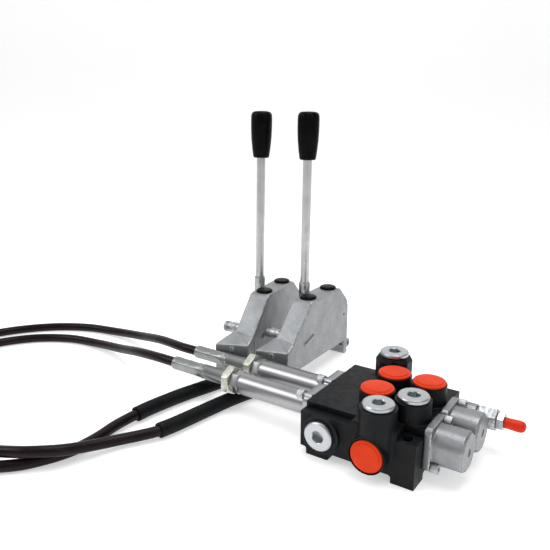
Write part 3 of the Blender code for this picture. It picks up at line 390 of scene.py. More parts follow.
def edge_wear_and_painted_highlight(made, low=0.508, high=0.55):
    """White on convex edges, broken up by noise: rubbed wear, and on the lever boxes' cast aluminium also a
    painted highlight along the edges.
    """
    geometry = node(made, "ShaderNodeNewGeometry")
    edges = ramp(made, geometry.outputs["Pointiness"], 0.0, 1.0, (low, high))
    patches = ramp(made, noise(made, 350, 5), 0.0, 1.0, (0.42, 0.62))
    return mix(made, (0, 0, 0), edges, patches)


def set_shader(made, **sockets):
    shader = made.node_tree.nodes["Principled BSDF"]
    for name, value in sockets.items():
        socket = shader.inputs[name.replace("_", " ")]
        if hasattr(value, "is_linked"):
            link(made, value, socket)
        else:
            socket.default_value = value


def black_paint():
    made = material("black_paint", (0.006, 0.0065, 0.0075), 0.4)
    patches = ramp(made, noise(made, 45, 3), (0.0045, 0.005, 0.006), (0.0085, 0.0095, 0.011))
    worn = mix(made, patches, (0.040, 0.043, 0.048), edge_wear_and_painted_highlight(made, 0.53, 0.62))
    set_shader(made, Base_Color=worn, Roughness=ramp(made, noise(made, 160, 5), 0.38, 0.56),
               Specular_IOR_Level=0.15)
    add_bumps(made, (noise(made, 260, 3), 0.35, 0.00025), (noise(made, 1400, 4), 0.3, 0.00008))
    return made


def metal(name, dark, light, rough, grain, depth, wear_and_highlight_colour=None, stretch=(1, 1, 1), metallic=1.0):
    """A bare metal: two tones in clouds, roughness in finer clouds, and a grained surface."""
    made = material(name, dark, rough[0], metallic)
    tone = ramp(made, noise(made, 60, 4, stretch), dark, light)
    # Lighter convex edges: rubbed wear, and on cast aluminium also a painted highlight along the edges.
    if wear_and_highlight_colour:
        tone = mix(made, tone, wear_and_highlight_colour, edge_wear_and_painted_highlight(made))
    set_shader(made, Base_Color=tone, Roughness=ramp(made, noise(made, 420, 5, stretch), rough[0], rough[1]))
    add_bumps(made, (noise(made, grain, 4, stretch), 0.45, depth),
              (noise(made, grain * 4, 3, stretch), 0.3, depth / 3))
    return made


def turned(name, dark, light, rough):
    """A turned metal, whose fine lay runs round the X axis."""
    depth = 0.00003
    made = material(name, dark, rough[0], 1.0)
    tone = ramp(made, noise(made, 40, 3), dark, light)
    lay = noise(made, 1500, 3, (1, 0.02, 0.02))
    set_shader(made, Base_Color=tone, Roughness=ramp(made, lay, rough[0], rough[1]))
    add_bumps(made, (lay, 0.03, depth), (noise(made, 900, 3), 0.04, depth))
    return made


def plastic(name, dark, light, rough, specular, grain=1200, depth=0.00004):
    made = material(name, dark, rough[0])
    set_shader(made, Base_Color=ramp(made, noise(made, 90, 3), dark, light),
               Roughness=ramp(made, noise(made, 500, 4), rough[0], rough[1]), Specular_IOR_Level=specular)
    add_bumps(made, (noise(made, grain / 6, 2), 0.2, depth * 3), (noise(made, grain, 3), 0.35, depth))
    return made


def jacket_material():
    made = material("conduit_jacket", (0.012, 0.006, 0.007), 0.3)
    clouds = noise(made, 70, 4)
    set_shader(made, Base_Color=ramp(made, clouds, (0.003, 0.002, 0.003), (0.016, 0.005, 0.007)),
               Roughness=ramp(made, noise(made, 300, 5), 0.24, 0.42), Specular_IOR_Level=0.16)
    add_bumps(made, (noise(made, 240, 3), 0.4, 0.0002), (noise(made, 1300, 3), 0.3, 0.00006))
    return made


MATERIALS = {
    "black_paint": black_paint(),
    # The pale edge colour of the cast aluminium is partly rubbed wear and partly a painted highlight along the box
    # edges.
    "cast_aluminium": metal("cast_aluminium", (0.25, 0.26, 0.27), (0.34, 0.35, 0.36), (0.36, 0.52), 260,
                            0.00045, wear_and_highlight_colour=(0.66, 0.67, 0.68), metallic=0.85),
    "zinc": metal("zinc", (0.46, 0.48, 0.50), (0.52, 0.54, 0.56), (0.32, 0.38), 1500, 0.00001),
    "yellow_zinc": metal("yellow_zinc", (0.60, 0.62, 0.50), (0.80, 0.82, 0.74), (0.28, 0.45), 500, 0.00008,
                         wear_and_highlight_colour=(0.9, 0.9, 0.85)),
    "steel": turned("steel", (0.24, 0.255, 0.25), (0.36, 0.375, 0.365), (0.30, 0.50)),
    "machined_aluminium": turned("machined_aluminium", (0.36, 0.36, 0.375), (0.40, 0.40, 0.41), (0.32, 0.37)),
    "satin_chrome": metal("satin_chrome", (0.44, 0.45, 0.45), (0.56, 0.57, 0.57), (0.26, 0.40), 700, 0.00005),
    "orange_plastic": plastic("orange_plastic", (0.72, 0.038, 0.003), (0.80, 0.050, 0.005), (0.38, 0.50),
                              0.14),
    "red_plastic": plastic("red_plastic", (0.70, 0.024, 0.004), (0.78, 0.034, 0.006), (0.28, 0.38), 0.22),
    "black_plastic": plastic("black_plastic", (0.002, 0.002, 0.0025), (0.005, 0.005, 0.0055), (0.22, 0.36),
                             0.05),
    "black_rubber": plastic("black_rubber", (0.003, 0.0035, 0.004), (0.007, 0.008, 0.009), (0.42, 0.60),
                            0.12, 900, 0.00007),
    "conduit_jacket": jacket_material(),
}


def finish_kept_nodes():
    """Every CAD node that stays takes the same material as the pieces of its slot."""
    for name, obj in frame["nodes"].items():
        if obj.hide_render:
            continue
        obj.data.materials.clear()
        obj.data.materials.append(MATERIALS[slot_of(name)])
        shade(obj)


# The valve body

BODY_LOW, BODY_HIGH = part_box("valve_body")
CAP_FLANGE_H, PLUG_FLANGE_H = 0.0034, 0.0041
BODY_LEFT, BODY_RIGHT = BODY_LOW.x, BODY_HIGH.x
BODY_FRONT, BODY_BACK, BODY_TOP, BODY_UNDERSIDE = -0.051, 0.052, 0.045, 0.006
SPOOL_Z = middle("spool_front").z
INLET_TOP, TANK_TOP = middle("plug_inlet_top"), middle("plug_tank_top")
WORK_PORTS = ("port_cap_a1", "port_cap_a2", "port_cap_b2", "plug_work_b1")
PORT_SEAT_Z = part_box("port_cap_a1")[1].z - CAP_FLANGE_H
INLET_SEAT_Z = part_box("plug_inlet_top")[1].z - PLUG_FLANGE_H
FEET = ((-0.067, BODY_FRONT, -0.045, -0.033), (0.0125, BODY_FRONT, BODY_RIGHT, -0.031),
        (-0.067, 0.036, -0.045, BODY_BACK), (0.0125, 0.036, BODY_RIGHT, BODY_BACK))
MOUNT_HOLES, MOUNT_HOLE_R = ((0.0225, -0.042, 0.060), (-0.060, 0.044, 0.028)), 0.0043
WORK_BOSS_LOW, TOP_BOSS_LOW = 0.030, 0.020
WORK_BOSS_R, TANK_BOSS_R, INLET_BOSS_R = 0.0153, 0.0156, 0.0172


def side_ports():
    """The ports in the front and rear faces: node, outward direction, boss radius, flange height."""
    return (
        ("port_cap_tank_side", -ALONG_Y, 0.0160, CAP_FLANGE_H),
        ("plug_carry_over", -ALONG_Y, 0.0176, PLUG_FLANGE_H),
        ("port_cap_inlet_side", ALONG_Y, 0.0183, CAP_FLANGE_H),
    )


def body_solids():
    """The rough casting: its machined faces stand proud until they are cut."""
    proud = 0.0025
    solids = [block("core", (BODY_LEFT - proud, BODY_FRONT, BODY_UNDERSIDE),
                    (BODY_RIGHT + proud, BODY_BACK, BODY_TOP))]
    for name in WORK_PORTS:
        place = middle(name)
        solids.append(rod("boss", (place.x, place.y, WORK_BOSS_LOW), UP, PORT_SEAT_Z + proud - WORK_BOSS_LOW,
                          WORK_BOSS_R))
    solids.append(rod("boss", (TANK_TOP.x, TANK_TOP.y, TOP_BOSS_LOW), UP, PORT_SEAT_Z + proud - TOP_BOSS_LOW,
                      TANK_BOSS_R))
    shoulder, turn = INLET_SEAT_Z - 0.0035, math.pi / 8
    solids.append(rod("boss", (INLET_TOP.x, INLET_TOP.y, TOP_BOSS_LOW), UP, shoulder - TOP_BOSS_LOW,
                      INLET_BOSS_R, sides=8, turn=turn))
    solids.append(rod("boss", (INLET_TOP.x, INLET_TOP.y, shoulder - 0.001), UP, 0.0045 + proud, INLET_BOSS_R,
                      sides=8, far_radius=0.0135, turn=turn))
    for name, outward, radius, flange in side_ports():
        seat = outer_place(name, outward).translation - outward * (flange - proud)
        solids.append(rod("boss", seat, -outward, 0.030, radius))
    for left, front, right, back in FEET:
        right += proud if right == BODY_RIGHT else 0
        solids.append(block("foot", (left, front, -proud), (right, back, 0.012)))
    return solids


def body_machining():
    """Cutters for the faces, steps, holes and port bores of the casting."""
    over, proud = 0.004, 0.004
    tools = [
        block("left_face", (BODY_LEFT - 0.02, -0.08, -0.02), (BODY_LEFT, 0.08, 0.1)),
        block("right_face", (BODY_RIGHT, -0.08, -0.02), (BODY_RIGHT + 0.02, 0.08, 0.1)),
        block("under", (-0.09, -0.08, -0.02), (0.05, 0.08, 0)),
    ]
    for name in WORK_PORTS:
        place = middle(name)
        tools.append(rod("face", (place.x, place.y, PORT_SEAT_Z), UP, proud, 0.0180))
        tools.append(rod("bore", (place.x, place.y, 0.0315), UP, 0.05, PORT_BORE_R))
    tools.append(rod("face", (TANK_TOP.x, TANK_TOP.y, PORT_SEAT_Z), UP, proud, 0.0185))
    tools.append(rod("bore", (TANK_TOP.x, TANK_TOP.y, 0.0240), UP, 0.05, PORT_BORE_R))
    tools.append(rod("face", (INLET_TOP.x, INLET_TOP.y, INLET_SEAT_Z), UP, proud, 0.0200))
    tools.append(rod("bore", (INLET_TOP.x, INLET_TOP.y, 0.0345), UP, 0.05, PORT_BORE_R))
    for name, outward, radius, flange in side_ports():
        seat = outer_place(name, outward).translation - outward * flange
        face = 0.0153 if name == "port_cap_tank_side" else radius + 0.003
        tools.append(rod("face", seat, outward, 0.012, face))
        tools.append(rod("bore", seat - outward * 0.018, outward, 0.03, PORT_BORE_R))
    for x, y, top in MOUNT_HOLES:
        tools.append(rod("hole", (x, y, -over), UP, top + over, MOUNT_HOLE_R, sides=40))
    for side in SIDES:
        y = middle(f"spool_{side}").y
        tools.append(rod("spool_bore", (BODY_LEFT - over, y, SPOOL_Z), ALONG_X, 0.12, 0.0073, sides=48))
    return tools


def make_body():
    casting = cast("valve_casting", body_solids(), 0.0008, 9)
    steps = [
        block("front_step", (BODY_LEFT - 0.01, BODY_FRONT - 0.005, 0.040),
              (-0.0235, -0.041, BODY_TOP + 0.005)),
        block("pad_step", (0.0165, BODY_FRONT - 0.005, 0.039), (BODY_RIGHT + 0.01, -0.033, BODY_TOP + 0.005)),
    ]
    cut(casting, steps + body_machining())
    stand_for(casting, "valve_body", 40)


# Plugs and caps

def make_plug(name, outward):
    """A collar plug: chamfered rim, flat face and hexagon socket, with its thread below."""
    top, shank = PLUG_FLANGE_H, 0.012
    thread = []
    pitch = 0.0018
    height = -0.0020
    while height > -shank + pitch:
        thread += [(0.0090, height), (0.0082, height - pitch / 2)]
        height -= pitch
    plug = lathe(f"collar_{name}", [
        (0, 0), (0.0122, 0, 0.0002), (0.0132, -0.0010, 0.0002), (0.0133, -top + GAP + 0.0006, 0.0002),
        (0.0127, -top + GAP), (0.0080, -top + GAP), *[(r, h - top) for r, h in thread],
        (0.0078, -top - shank), (0, -top - shank),
    ])
    socket = rod("socket", (0, 0, -0.006), UP, 0.01, hex_radius(0.010), sides=6)
    mouth = rod("mouth", (0, 0, -0.0008), UP, 0.0018, 0.0050, far_radius=0.0068, sides=48)
    cut(plug, [socket, mouth])
    plug.data.transform(outer_place(name, outward))
    stand_for(plug, name)


def make_port_cap(name, outward):
    """A moulded cap: domed face with a fine step inside its rim, and a ribbed shank."""
    low, shank = -CAP_FLANGE_H, 0.010
    cap = lathe(f"moulded_{name}", [
        (0, 0), (0.0070, -0.00005), (0.0110, -0.00025), (0.0117, -0.0004, 0.0002), (0.0119, -0.0010, 0.0002),
        (0.0125, -0.0011, 0.0002), (0.0142, -0.0015, 0.0006), (0.0143, low + GAP + 0.0002, 0.0002),
        (0.0139, low + GAP), (0.0080, low + GAP), (0.0080, low - 0.001), (0.0089, low - 0.0014),
        (0.0086, low - 0.0032), (0.0088, low - 0.0036), (0.0085, low - 0.0058), (0.0087, low - 0.0062),
        (0.0082, low - shank, 0.0004), (0.0070, low - shank), (0.0068, low - 0.002), (0, low - 0.002),
    ])
    cap.data.transform(outer_place(name, outward))
    stand_for(cap, name, 28)


def make_closures():
    for name in ("port_cap_a1", "port_cap_a2", "port_cap_b2"):
        make_port_cap(name, UP)
    for name in ("plug_work_b1", "plug_tank_top", "plug_inlet_top"):
        make_plug(name, UP)
    make_port_cap("port_cap_tank_side", -ALONG_Y)
    make_port_cap("port_cap_inlet_side", ALONG_Y)
    make_plug("plug_carry_over", -ALONG_Y)


# What is bolted to the ends of the spools

def make_end_caps():
    """Die-cast spring caps: a flange, a square barrel with round corners and a pocket for each screw head."""
    size, centre = span("end_cap_front"), middle("end_cap_front")
    length, flange = size.x, 0.006
    outline = rounded_rectangle(size.z - 0.0004, size.y - 0.0004, 0.005)
    barrel = rounded_rectangle(0.0330, 0.0330, 0.0140, steps=14)
    nose = rounded_rectangle(0.0308, 0.0308, 0.0135, steps=14)
    shell = cast("spring_cap", [extrusion("flange", outline, 0, flange),
                                extrusion("barrel", barrel, 0.001, length - 0.0028),
                                extrusion("nose", nose, 0.002, length - 0.0022)], 0.00055, 7)
    tools = [rod("cavity", (0, 0, -0.004), UP, length, 0.0125),
             block("seat", (-0.03, -0.03, -0.01), (0.03, 0.03, 0))]
    for tag in TAGS:
        screw = middle(f"cap_screw_front_{tag}") - centre
        place = Vector((-screw.z, screw.y, flange))
        tools.append(rod("pocket", place, UP, length, SCREW_HEAD_R + 0.0011, sides=48))
        tools.append(rod("hole", place - UP * 0.01, UP, 0.02, SCREW_HOLE_R, sides=32))
    tools.append(rod("rim_mark", (0, 0, length - 0.0010), UP, 0.003, 0.0036, sides=48))
    cut(shell, tools)
    for side in SIDES:
        name = f"end_cap_{side}"
        base = outer_place(name, ALONG_X) @ Matrix.Translation((0, 0, -length)) @ quarter_turn(name)
        stand_for(copy_at(shell, f"spring_cap_{side}", base), name)
    bpy.data.objects.remove(shell)


def quarter_turn(name):
    """Turns a piece made with its height along local -X so that it stands up in its outer_place frame."""
    up = outer_place(name, ALONG_X).to_3x3().inverted() @ UP
    return Matrix.Rotation(math.atan2(up.y, up.x) - math.pi, 4, "Z")


def make_adapters():
    """Cable adapters: a flange, a turned tube with a relief groove, and a hexagon for a wrench."""
    for side in SIDES:
        name = f"cable_adapter_{side}"
        size, centre = span(name), middle(name)
        length, flange, hexagon = size.x, 0.008, 0.009
        shoulder = length - hexagon
        outline = rounded_rectangle(0.0326, size.y - 0.0004, 0.007)
        base = outer_place(name, ALONG_X) @ Matrix.Rotation(math.pi, 4, "X")
        up = base.to_3x3().inverted() @ UP
        turn = Matrix.Rotation(math.atan2(up.y, up.x), 4, "Z")
        adapter = bevelled(extrusion(f"adapter_flange_{side}", outline, 0, flange), 0.0007)
        tube = lathe("tube", [
            (0, 0.001), (0.0110, 0.001), (0.0128, flange, 0.0008), (0.0112, flange + 0.0015, 0.0008),
            (0.0110, flange + 0.003), (0.0110, shoulder - 0.0024), (0.0104, shoulder - 0.0020),
            (0.0104, shoulder - 0.0004), (0.0100, shoulder + 0.001), (0, shoulder + 0.001),
        ])
        wrench = bevelled(rod("wrench", (0, 0, shoulder), UP, hexagon, hex_radius(0.0205), sides=6), 0.0005)
        chamfer = lathe("chamfer", [(0, shoulder - 0.001), (0.0100, shoulder - 0.001),
                                    (0.0118, shoulder + 0.0006), (0.0118, length - 0.0008),
                                    (0.0108, length + 0.001), (0, length + 0.001)])
        cut(wrench, [chamfer], "INTERSECT")
        cut(adapter, [tube, wrench], "UNION")
        tools = [rod("bore", (0, 0, -0.001), UP, length + 0.002, 0.0085)]
        for tag in TAGS:
            screw = middle(f"adapter_screw_{side}_{tag}") - centre
            spot = turn.inverted() @ base.to_3x3().to_4x4().inverted() @ Vector((0, screw.y, screw.z))
            tools.append(rod("hole", (spot.x, spot.y, -0.001), UP, flange + 0.002, SCREW_HOLE_R, sides=32))
            tools.append(rod("seat", (spot.x, spot.y, flange - 0.0003), UP, 0.01, SCREW_HEAD_R + 0.0008,
                             sides=48))
        cut(adapter, tools)
        adapter.data.transform(base @ turn)
        stand_for(adapter, name)


def make_screws():
    """Socket head cap screws: knurled head, hexagon socket, plain shank."""
    head, radius, knurls, knurl_depth = 0.0062, SCREW_HEAD_R, 36, 0.00022
    bm = bmesh.new()
    rings = []
    for height, base in ((0, radius - 0.0003), (-0.0005, radius), (-head + 0.0004, radius),
                         (-head, radius - 0.0002)):
        ring = []
        for step in range(2 * knurls):
            spread = base - (knurl_depth if step % 2 else 0) * (0 < -height < head)
            angle = math.pi * step / knurls
            ring.append(bm.verts.new((spread * math.cos(angle), spread * math.sin(angle), height)))
        rings.append(ring)
    bridge(bm, rings)
    bm.faces.new(rings[0])
    bm.faces.new(rings[-1])
    screw = new_object("screw_head", bm)
    cut(screw, [rod("socket", (0, 0, -0.0027), UP, 0.01, hex_radius(0.004), sides=6),
                rod("mouth", (0, 0, -0.0004), UP, 0.001, 0.0020, far_radius=0.0030, sides=32)])
    for end, outward in (("cap", ALONG_X), ("adapter", -ALONG_X)):
        for side in SIDES:
            for tag in TAGS:
                name = f"{end}_screw_{side}_{tag}"
                shank = rod("shank", (0, 0, -head + 0.0002), -UP, SCREW_SHANK[end], 0.0025, sides=32)
                whole = cut(copy_at(screw, f"socket_{name}", Matrix.Identity(4)), [shank], "UNION")
                whole.data.transform(outer_place(name, outward) @ Matrix.Translation((0, 0, head - 0.005)))
                stand_for(whole, name)
    bpy.data.objects.remove(screw)


def chamfered_hexagon(name, thickness, flats, bore, drop=0.0008):
    """A nut from z = 0 down: corners chamfered by two cones, with a countersunk bore."""
    nut = bevelled(rod(name, (0, 0, 0), -UP, thickness, hex_radius(flats), sides=6), 0.00035, 2)
    corner, rim = hex_radius(flats) + 0.0002, flats / 2 - 0.0012
    cone = lathe("cones", [(0, 0.001), (rim, 0.001), (corner, -drop - 0.0004),
                           (corner, -thickness + drop + 0.0004), (rim, -thickness - 0.001),
                           (0, -thickness - 0.001)])
    cut(nut, [cone], "INTERSECT")
    mouth = bore + 0.0028
    cut(nut, [lathe("bore", [(0, 0.002), (mouth, 0.002), (bore, -0.0008), (bore, -thickness + 0.0008),
                             (mouth, -thickness - 0.002), (0, -thickness - 0.002)])])
    return nut


def flat_down(place):
    """Turns a hexagon about local Z so that a flat faces the floor."""
    up = place.to_3x3().inverted() @ UP
    return place @ Matrix.Rotation(math.atan2(up.y, up.x) - math.pi / 6, 4, "Z")


def make_cable_ends():
    """The lock nut, the threaded hub and the crimped hexagon ferrule of each cable."""
    for side in SIDES:
        nut_name, fitting = f"lock_nut_{side}", f"cable_fitting_{side}"
        nut = chamfered_hexagon(f"hex_nut_{side}", span(nut_name).x, 0.0262, HUB_R + GAP)
        nut.data.transform(flat_down(outer_place(nut_name, ALONG_X)))
        stand_for(nut, nut_name)

        hub_length, pitch = span(fitting).x - FERRULE_LENGTH, 0.00125
        thread, height = [], 0.0008
        while height < hub_length - pitch - 0.003:
            thread += [(HUB_R - 0.00055, -height), (HUB_R, -height - pitch / 2)]
            height += pitch
        end = -hub_length
        hub = lathe(f"threaded_hub_{side}", [
            (0, 0), (HUB_R - 0.0009, 0), *thread, (HUB_R - 0.0005, end + 0.0028),
            (HUB_R - 0.0005, end + 0.0016), (HUB_R, end + 0.0013), (HUB_R, end, 0.0003),
            (0.0060, end - 0.0006), (0.0060, end - 0.004),
            (0, end - 0.004),
        ], STEPS)
        crimp = ferrule_mesh()
        crimp.data.transform(Matrix.Translation((0, 0, end)))
        hub = cut(hub, [crimp], "UNION")
        hub.data.transform(flat_down(outer_place(fitting, ALONG_X)))
        stand_for(hub, fitting, 25)


def ferrule_mesh():
    """A tube crimped to a hexagon in the middle, round and slightly belled at its ends."""
    stations = ((0, 0.0066, 0.0), (0.0012, 0.0070, 0.0), (0.006, 0.0071, 0.0), (0.0085, 0.0072, 1.0),
                (0.0180, 0.0073, 1.0), (0.0195, 0.0071, 0.25), (0.0205, 0.0071, 0.25), (0.0220, 0.0073, 1.0),
                (0.0335, 0.0073, 1.0), (0.0360, 0.0070, 0.1), (0.0392, 0.0068, 0.0),
                (FERRULE_LENGTH, 0.0062, 0.0))
    apothem = 0.00675
    bm = bmesh.new()
    rings = []
    for offset, radius, hexness in stations:
        ring = []
        for step in range(STEPS):
            angle = 2 * math.pi * step / STEPS
            within = (angle + math.pi / 6) % (math.pi / 3) - math.pi / 6
            flat = min(apothem / math.cos(within), radius + 0.00035)
            spread = radius * (1 - hexness) + flat * hexness
            ring.append(bm.verts.new((spread * math.cos(angle), spread * math.sin(angle), -offset)))
        rings.append(ring)
    bridge(bm, rings)
    bm.faces.new(rings[0])
    bm.faces.new(rings[-1])
    return new_object("ferrule", bm)


def make_relief_valve():
    """The relief valve's shell with its wrench flats, its lock nut and the red cap on its screw."""
    low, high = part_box("relief_body")
    centre = middle("relief_body")
    boss_end, hex_end, boss_r = 0.0535, high.x, 0.0095
    place = Matrix.Translation((0, centre.y, centre.z)) @ facing(ALONG_X)
    shell = lathe("relief_shell", [
        (0, hex_end - 0.001), (0.0075, hex_end - 0.001), (0.0078, boss_end + 0.0006),
        (0.0074, boss_end - 0.0004), (0.0074, boss_end - 0.0016),
        (boss_r - 0.0004, boss_end - 0.0018, 0.0003), (boss_r, boss_end - 0.0024),
        (boss_r, BODY_RIGHT + 0.0042), (boss_r + 0.0006, BODY_RIGHT + 0.0036, 0.0003),
        (boss_r + 0.0006, BODY_RIGHT + 0.0012), (boss_r, BODY_RIGHT + GAP), (0.0079, BODY_RIGHT + GAP),
        (0.0079, low.x), (0, low.x),
    ])
    wrench = chamfered_hexagon("relief_wrench", hex_end - boss_end, 0.0182, 0.0052)
    wrench.data.transform(Matrix.Translation((0, 0, hex_end)))
    cut(shell, [wrench], "UNION")
    cut(shell, [rod("core", (0, 0, 0.018), UP, hex_end, 0.0052),
                rod("seat", (0, 0, 0.010), UP, 0.01, 0.0030)])
    turn = flat_down(place)
    shell.data.transform(turn)
    stand_for(shell, "relief_body")

    low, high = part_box("relief_lock_nut")
    nut = chamfered_hexagon("relief_nut", high.x - low.x, 0.0140, 0.0043, 0.0005)
    nut.data.transform(Matrix.Translation((0, 0, high.x)))
    nut.data.transform(turn)
    stand_for(nut, "relief_lock_nut")

    length, width, _ = span("relief_cap")
    radius = width / 2
    cap = lathe("screw_cap", [
        (0, 0), (radius * 0.30, -0.00012), (radius * 0.62, -0.0007), (radius * 0.84, -0.0019),
        (radius * 0.96, -0.0036), (radius, -0.0056), (radius * 0.985, -0.0085),
        (radius * 0.90, -length + 0.0026), (radius * 0.94, -length + 0.0022, 0.0002),
        (radius * 0.94, -length, 0.0002), (0.0041, -length), (0.0041, -0.0045), (0, -0.0030),
    ])
    cap.data.transform(outer_place("relief_cap", ALONG_X))
    stand_for(cap, "relief_cap")


# Lever boxes: a local frame with the pivot over the origin, Y along the box and the cable at -Y

PIVOT_Z = joint("lever_front_swing")["pos_m"][2]
CABLE_EXIT = Vector((-0.0055, -0.080, 0.010))
LEVER_X = -0.019
BOX_TOP, BOX_UNDERSIDE = 0.0875, 0.017
BOX_PLUG_Y, PIN_Y, PIN_Z = 0.022, -0.052, 0.050
TO_SIDE = Matrix(((0, 0, 1, 0), (1, 0, 0, 0), (0, 1, 0, 0), (0, 0, 0, 1)))


def box_side_outline(inset=0.0, floor=BOX_UNDERSIDE):
    """The side view of a box as (y, z) points, with its sloping front and rounded top."""
    left, right = -0.068 + inset, 0.052 - inset
    points = [(left, floor), (left, 0.047), (left - 0.001 + inset, 0.0505 - inset / 2)]
    points += arc((-0.030, 0.0815), 0.006 - inset, 135, 90, 6)
    points += arc((0.027, 0.0795), 0.008 - inset, 90, 45, 6)
    points += [(0.049 - inset, 0.069 - inset / 2), (right, 0.061 - inset / 2), (right, floor)]
    return points


def toe_wedge(half):
    """The flared toe: its top twists down from the foot of the slope to a low front left corner."""
    back, ground = -0.055, 0.0
    corners = [
        (-half, -0.0655, 0.0535), (half, -0.0700, 0.0495), (half, -0.0808, 0.0440),
        (-0.0305, -0.0812, 0.0385), (-half, back, 0.0535), (half, back, 0.0495), (-half, back, ground),
        (half, back, ground), (half, -0.0808, ground), (-0.0305, -0.0812, ground),
    ]
    bm = bmesh.new()
    for corner in corners:
        bm.verts.new(corner)
    bmesh.ops.convex_hull(bm, input=bm.verts)
    return new_object("toe", bm)


def box_solids():
    half = BOX_HALF_W - 0.0002
    return [
        extrusion("housing", box_side_outline(), -half, 2 * half, TO_SIDE),
        toe_wedge(half),
        block("heel", (-half, 0.0455, 0), (half, 0.0516, 0.030)),
        rod("lug", (-half + 0.001, 0.056, 0.0105), ALONG_X, 2 * half - 0.002, 0.0056),
        rod("shaft_boss", (-BOX_HALF_W - 0.0006, 0, PIVOT_Z), ALONG_X, 0.004, 0.0095),
        rod("pin_boss", (-BOX_HALF_W - 0.0006, PIN_Y, PIN_Z), ALONG_X, 0.004, 0.0078),
    ]


def box_side_details():
    """Slim ribs of the casting's right side: the raised edge along its front slope and over the toe."""
    rib = rod("rib", (BOX_HALF_W - 0.0007, -0.0480, 0.0425), Vector((0, 0.0189, 0.0054)).normalized(),
              0.020, 0.0024, sides=24)
    lip = rod("lip", (BOX_HALF_W - 0.0008, -0.0660, 0.0180), UP, 0.025, 0.0012, sides=24)
    return [rib, lip]


def box_cutters():
    """The hollow, the bores of shaft, pin, cable and plugs, and a few small holes."""
    inner = BOX_HALF_W - BOX_WALL
    tools = [
        extrusion("hollow", box_side_outline(BOX_WALL, 0.010), -inner, 2 * inner, TO_SIDE),
        rod("shaft_bore", (-0.020, 0, PIVOT_Z), ALONG_X, 0.0285, PIVOT_BORE_R),
        rod("pin_bore", (-0.020, PIN_Y, PIN_Z), ALONG_X, 0.016, 0.0063),
        rod("cable_bore", (CABLE_EXIT.x, -0.052, CABLE_EXIT.z), -ALONG_Y, 0.030, CONDUIT_R + GAP, sides=48),
        rod("cable_mouth", (CABLE_EXIT.x, -0.0785, CABLE_EXIT.z), -ALONG_Y, 0.006, 0.0054, far_radius=0.0095,
            sides=48),
        rod("lug_hole", (-0.020, 0.056, 0.0105), ALONG_X, 0.04, 0.0026, sides=32),
        rod("side_hole", (BOX_HALF_W - 0.0024, 0.0415, 0.0522), ALONG_X, 0.01, 0.0017, sides=32),
        block("foot_cut", (-0.03, -0.1, -0.01), (0.03, 0.07, 0)),
    ]
    for y in (-BOX_PLUG_Y, BOX_PLUG_Y):
        tools.append(rod("plug_bore", (0, y, BOX_TOP - 0.010), UP, 0.02, 0.0072, sides=48))
        tools.append(rod("plug_seat", (0, y, BOX_TOP - 0.0001), UP, 0.01, 0.0098, sides=64))
    return tools


def toe_screw():
    """The small slotted screw in the front of the toe that clamps the cable."""
    head = lathe("toe_screw", [(0, 0.0014), (0.0026, 0.0014, 0.0003), (0.0032, 0.0008, 0.0003),
                               (0.0032, -0.0006), (0.0020, -0.001), (0, -0.001)], 48)
    cut(head, [block("slot", (-0.0004, -0.005, 0.0006), (0.0004, 0.005, 0.005))])
    head.data.transform(Matrix.Translation((-0.0085, -0.0805, 0.0370)) @ facing(-ALONG_Y))
    return head


def make_lever_boxes():
    box = cast("lever_housing", box_solids() + box_side_details(), 0.0007, 9)
    cut(box, box_cutters())
    screw = toe_screw()
    for side in SIDES:
        stand_for(copy_at(box, f"lever_housing_{side}", box_place(side)), f"lever_box_{side}", 38)
        clamp = copy_at(screw, f"toe_screw_{side}", box_place(side))
        shade(clamp)
        clamp.data.materials.append(MATERIALS["zinc"])
        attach(clamp, "valve")
        make_box_plugs(side)
        make_tie_pin(side)
    bpy.data.objects.remove(box)
    bpy.data.objects.remove(screw)


def make_box_plugs(side):
    """Domed push-in covers with a pry notch in the rim."""
    for tag, y in (("near", -BOX_PLUG_Y), ("far", BOX_PLUG_Y)):
        plug = lathe(f"cover_{side}_{tag}", [
            (0, 0.0029), (0.0050, 0.0028), (0.0076, 0.0026, 0.0002), (0.0080, 0.0022, 0.0002),
            (0.0088, 0.0020, 0.0004), (0.0093, 0.0014, 0.0004), (0.0093, GAP + 0.0001), (0.0090, GAP),
            (0.0066, GAP), (0.0066, -0.0030), (0.0050, -0.0032), (0.0050, 0.0008), (0, 0.0008),
        ], STEPS)
        cut(plug, [block("notch", (0.0080, -0.0012, 0.0002), (0.0110, 0.0012, 0.0011))])
        plug.data.transform(box_place(side) @ Matrix.Translation((0, y, BOX_TOP)))
        stand_for(plug, f"box_plug_{side}_{tag}")


def make_tie_pin(side):
    """The stub between the boxes: chamfered, with a groove and a centre mark."""
    low, inner = -0.034, -BOX_HALF_W + BOX_WALL
    pin = lathe(f"stub_{side}", [
        (0, 0), (0.0007, -0.0006), (0.0014, 0), (0.0048, 0, 0.0002), (0.0060, -0.0012, 0.0002),
        (0.0060, -0.0040), (0.0056, -0.0043), (0.0056, -0.0054), (0.0060, -0.0057), (0.0060, low - inner),
        (0, low - inner),
    ], STEPS)
    pin.data.transform(box_place(side) @ Matrix.Translation((low, PIN_Y, PIN_Z)) @ facing(-ALONG_X))
    stand_for(pin, f"tie_pin_{side}")


# Levers

def lever_place(side):
    """The lever's own frame: its pivot at the origin, leaning back as the CAD lever does."""
    pivot = box_place(side) @ Matrix.Translation((0, 0, PIVOT_Z))
    top = pivot.inverted() @ middle(f"knob_{side}")
    return pivot @ Matrix.Rotation(-math.atan2(top.y, top.z), 4, "X")


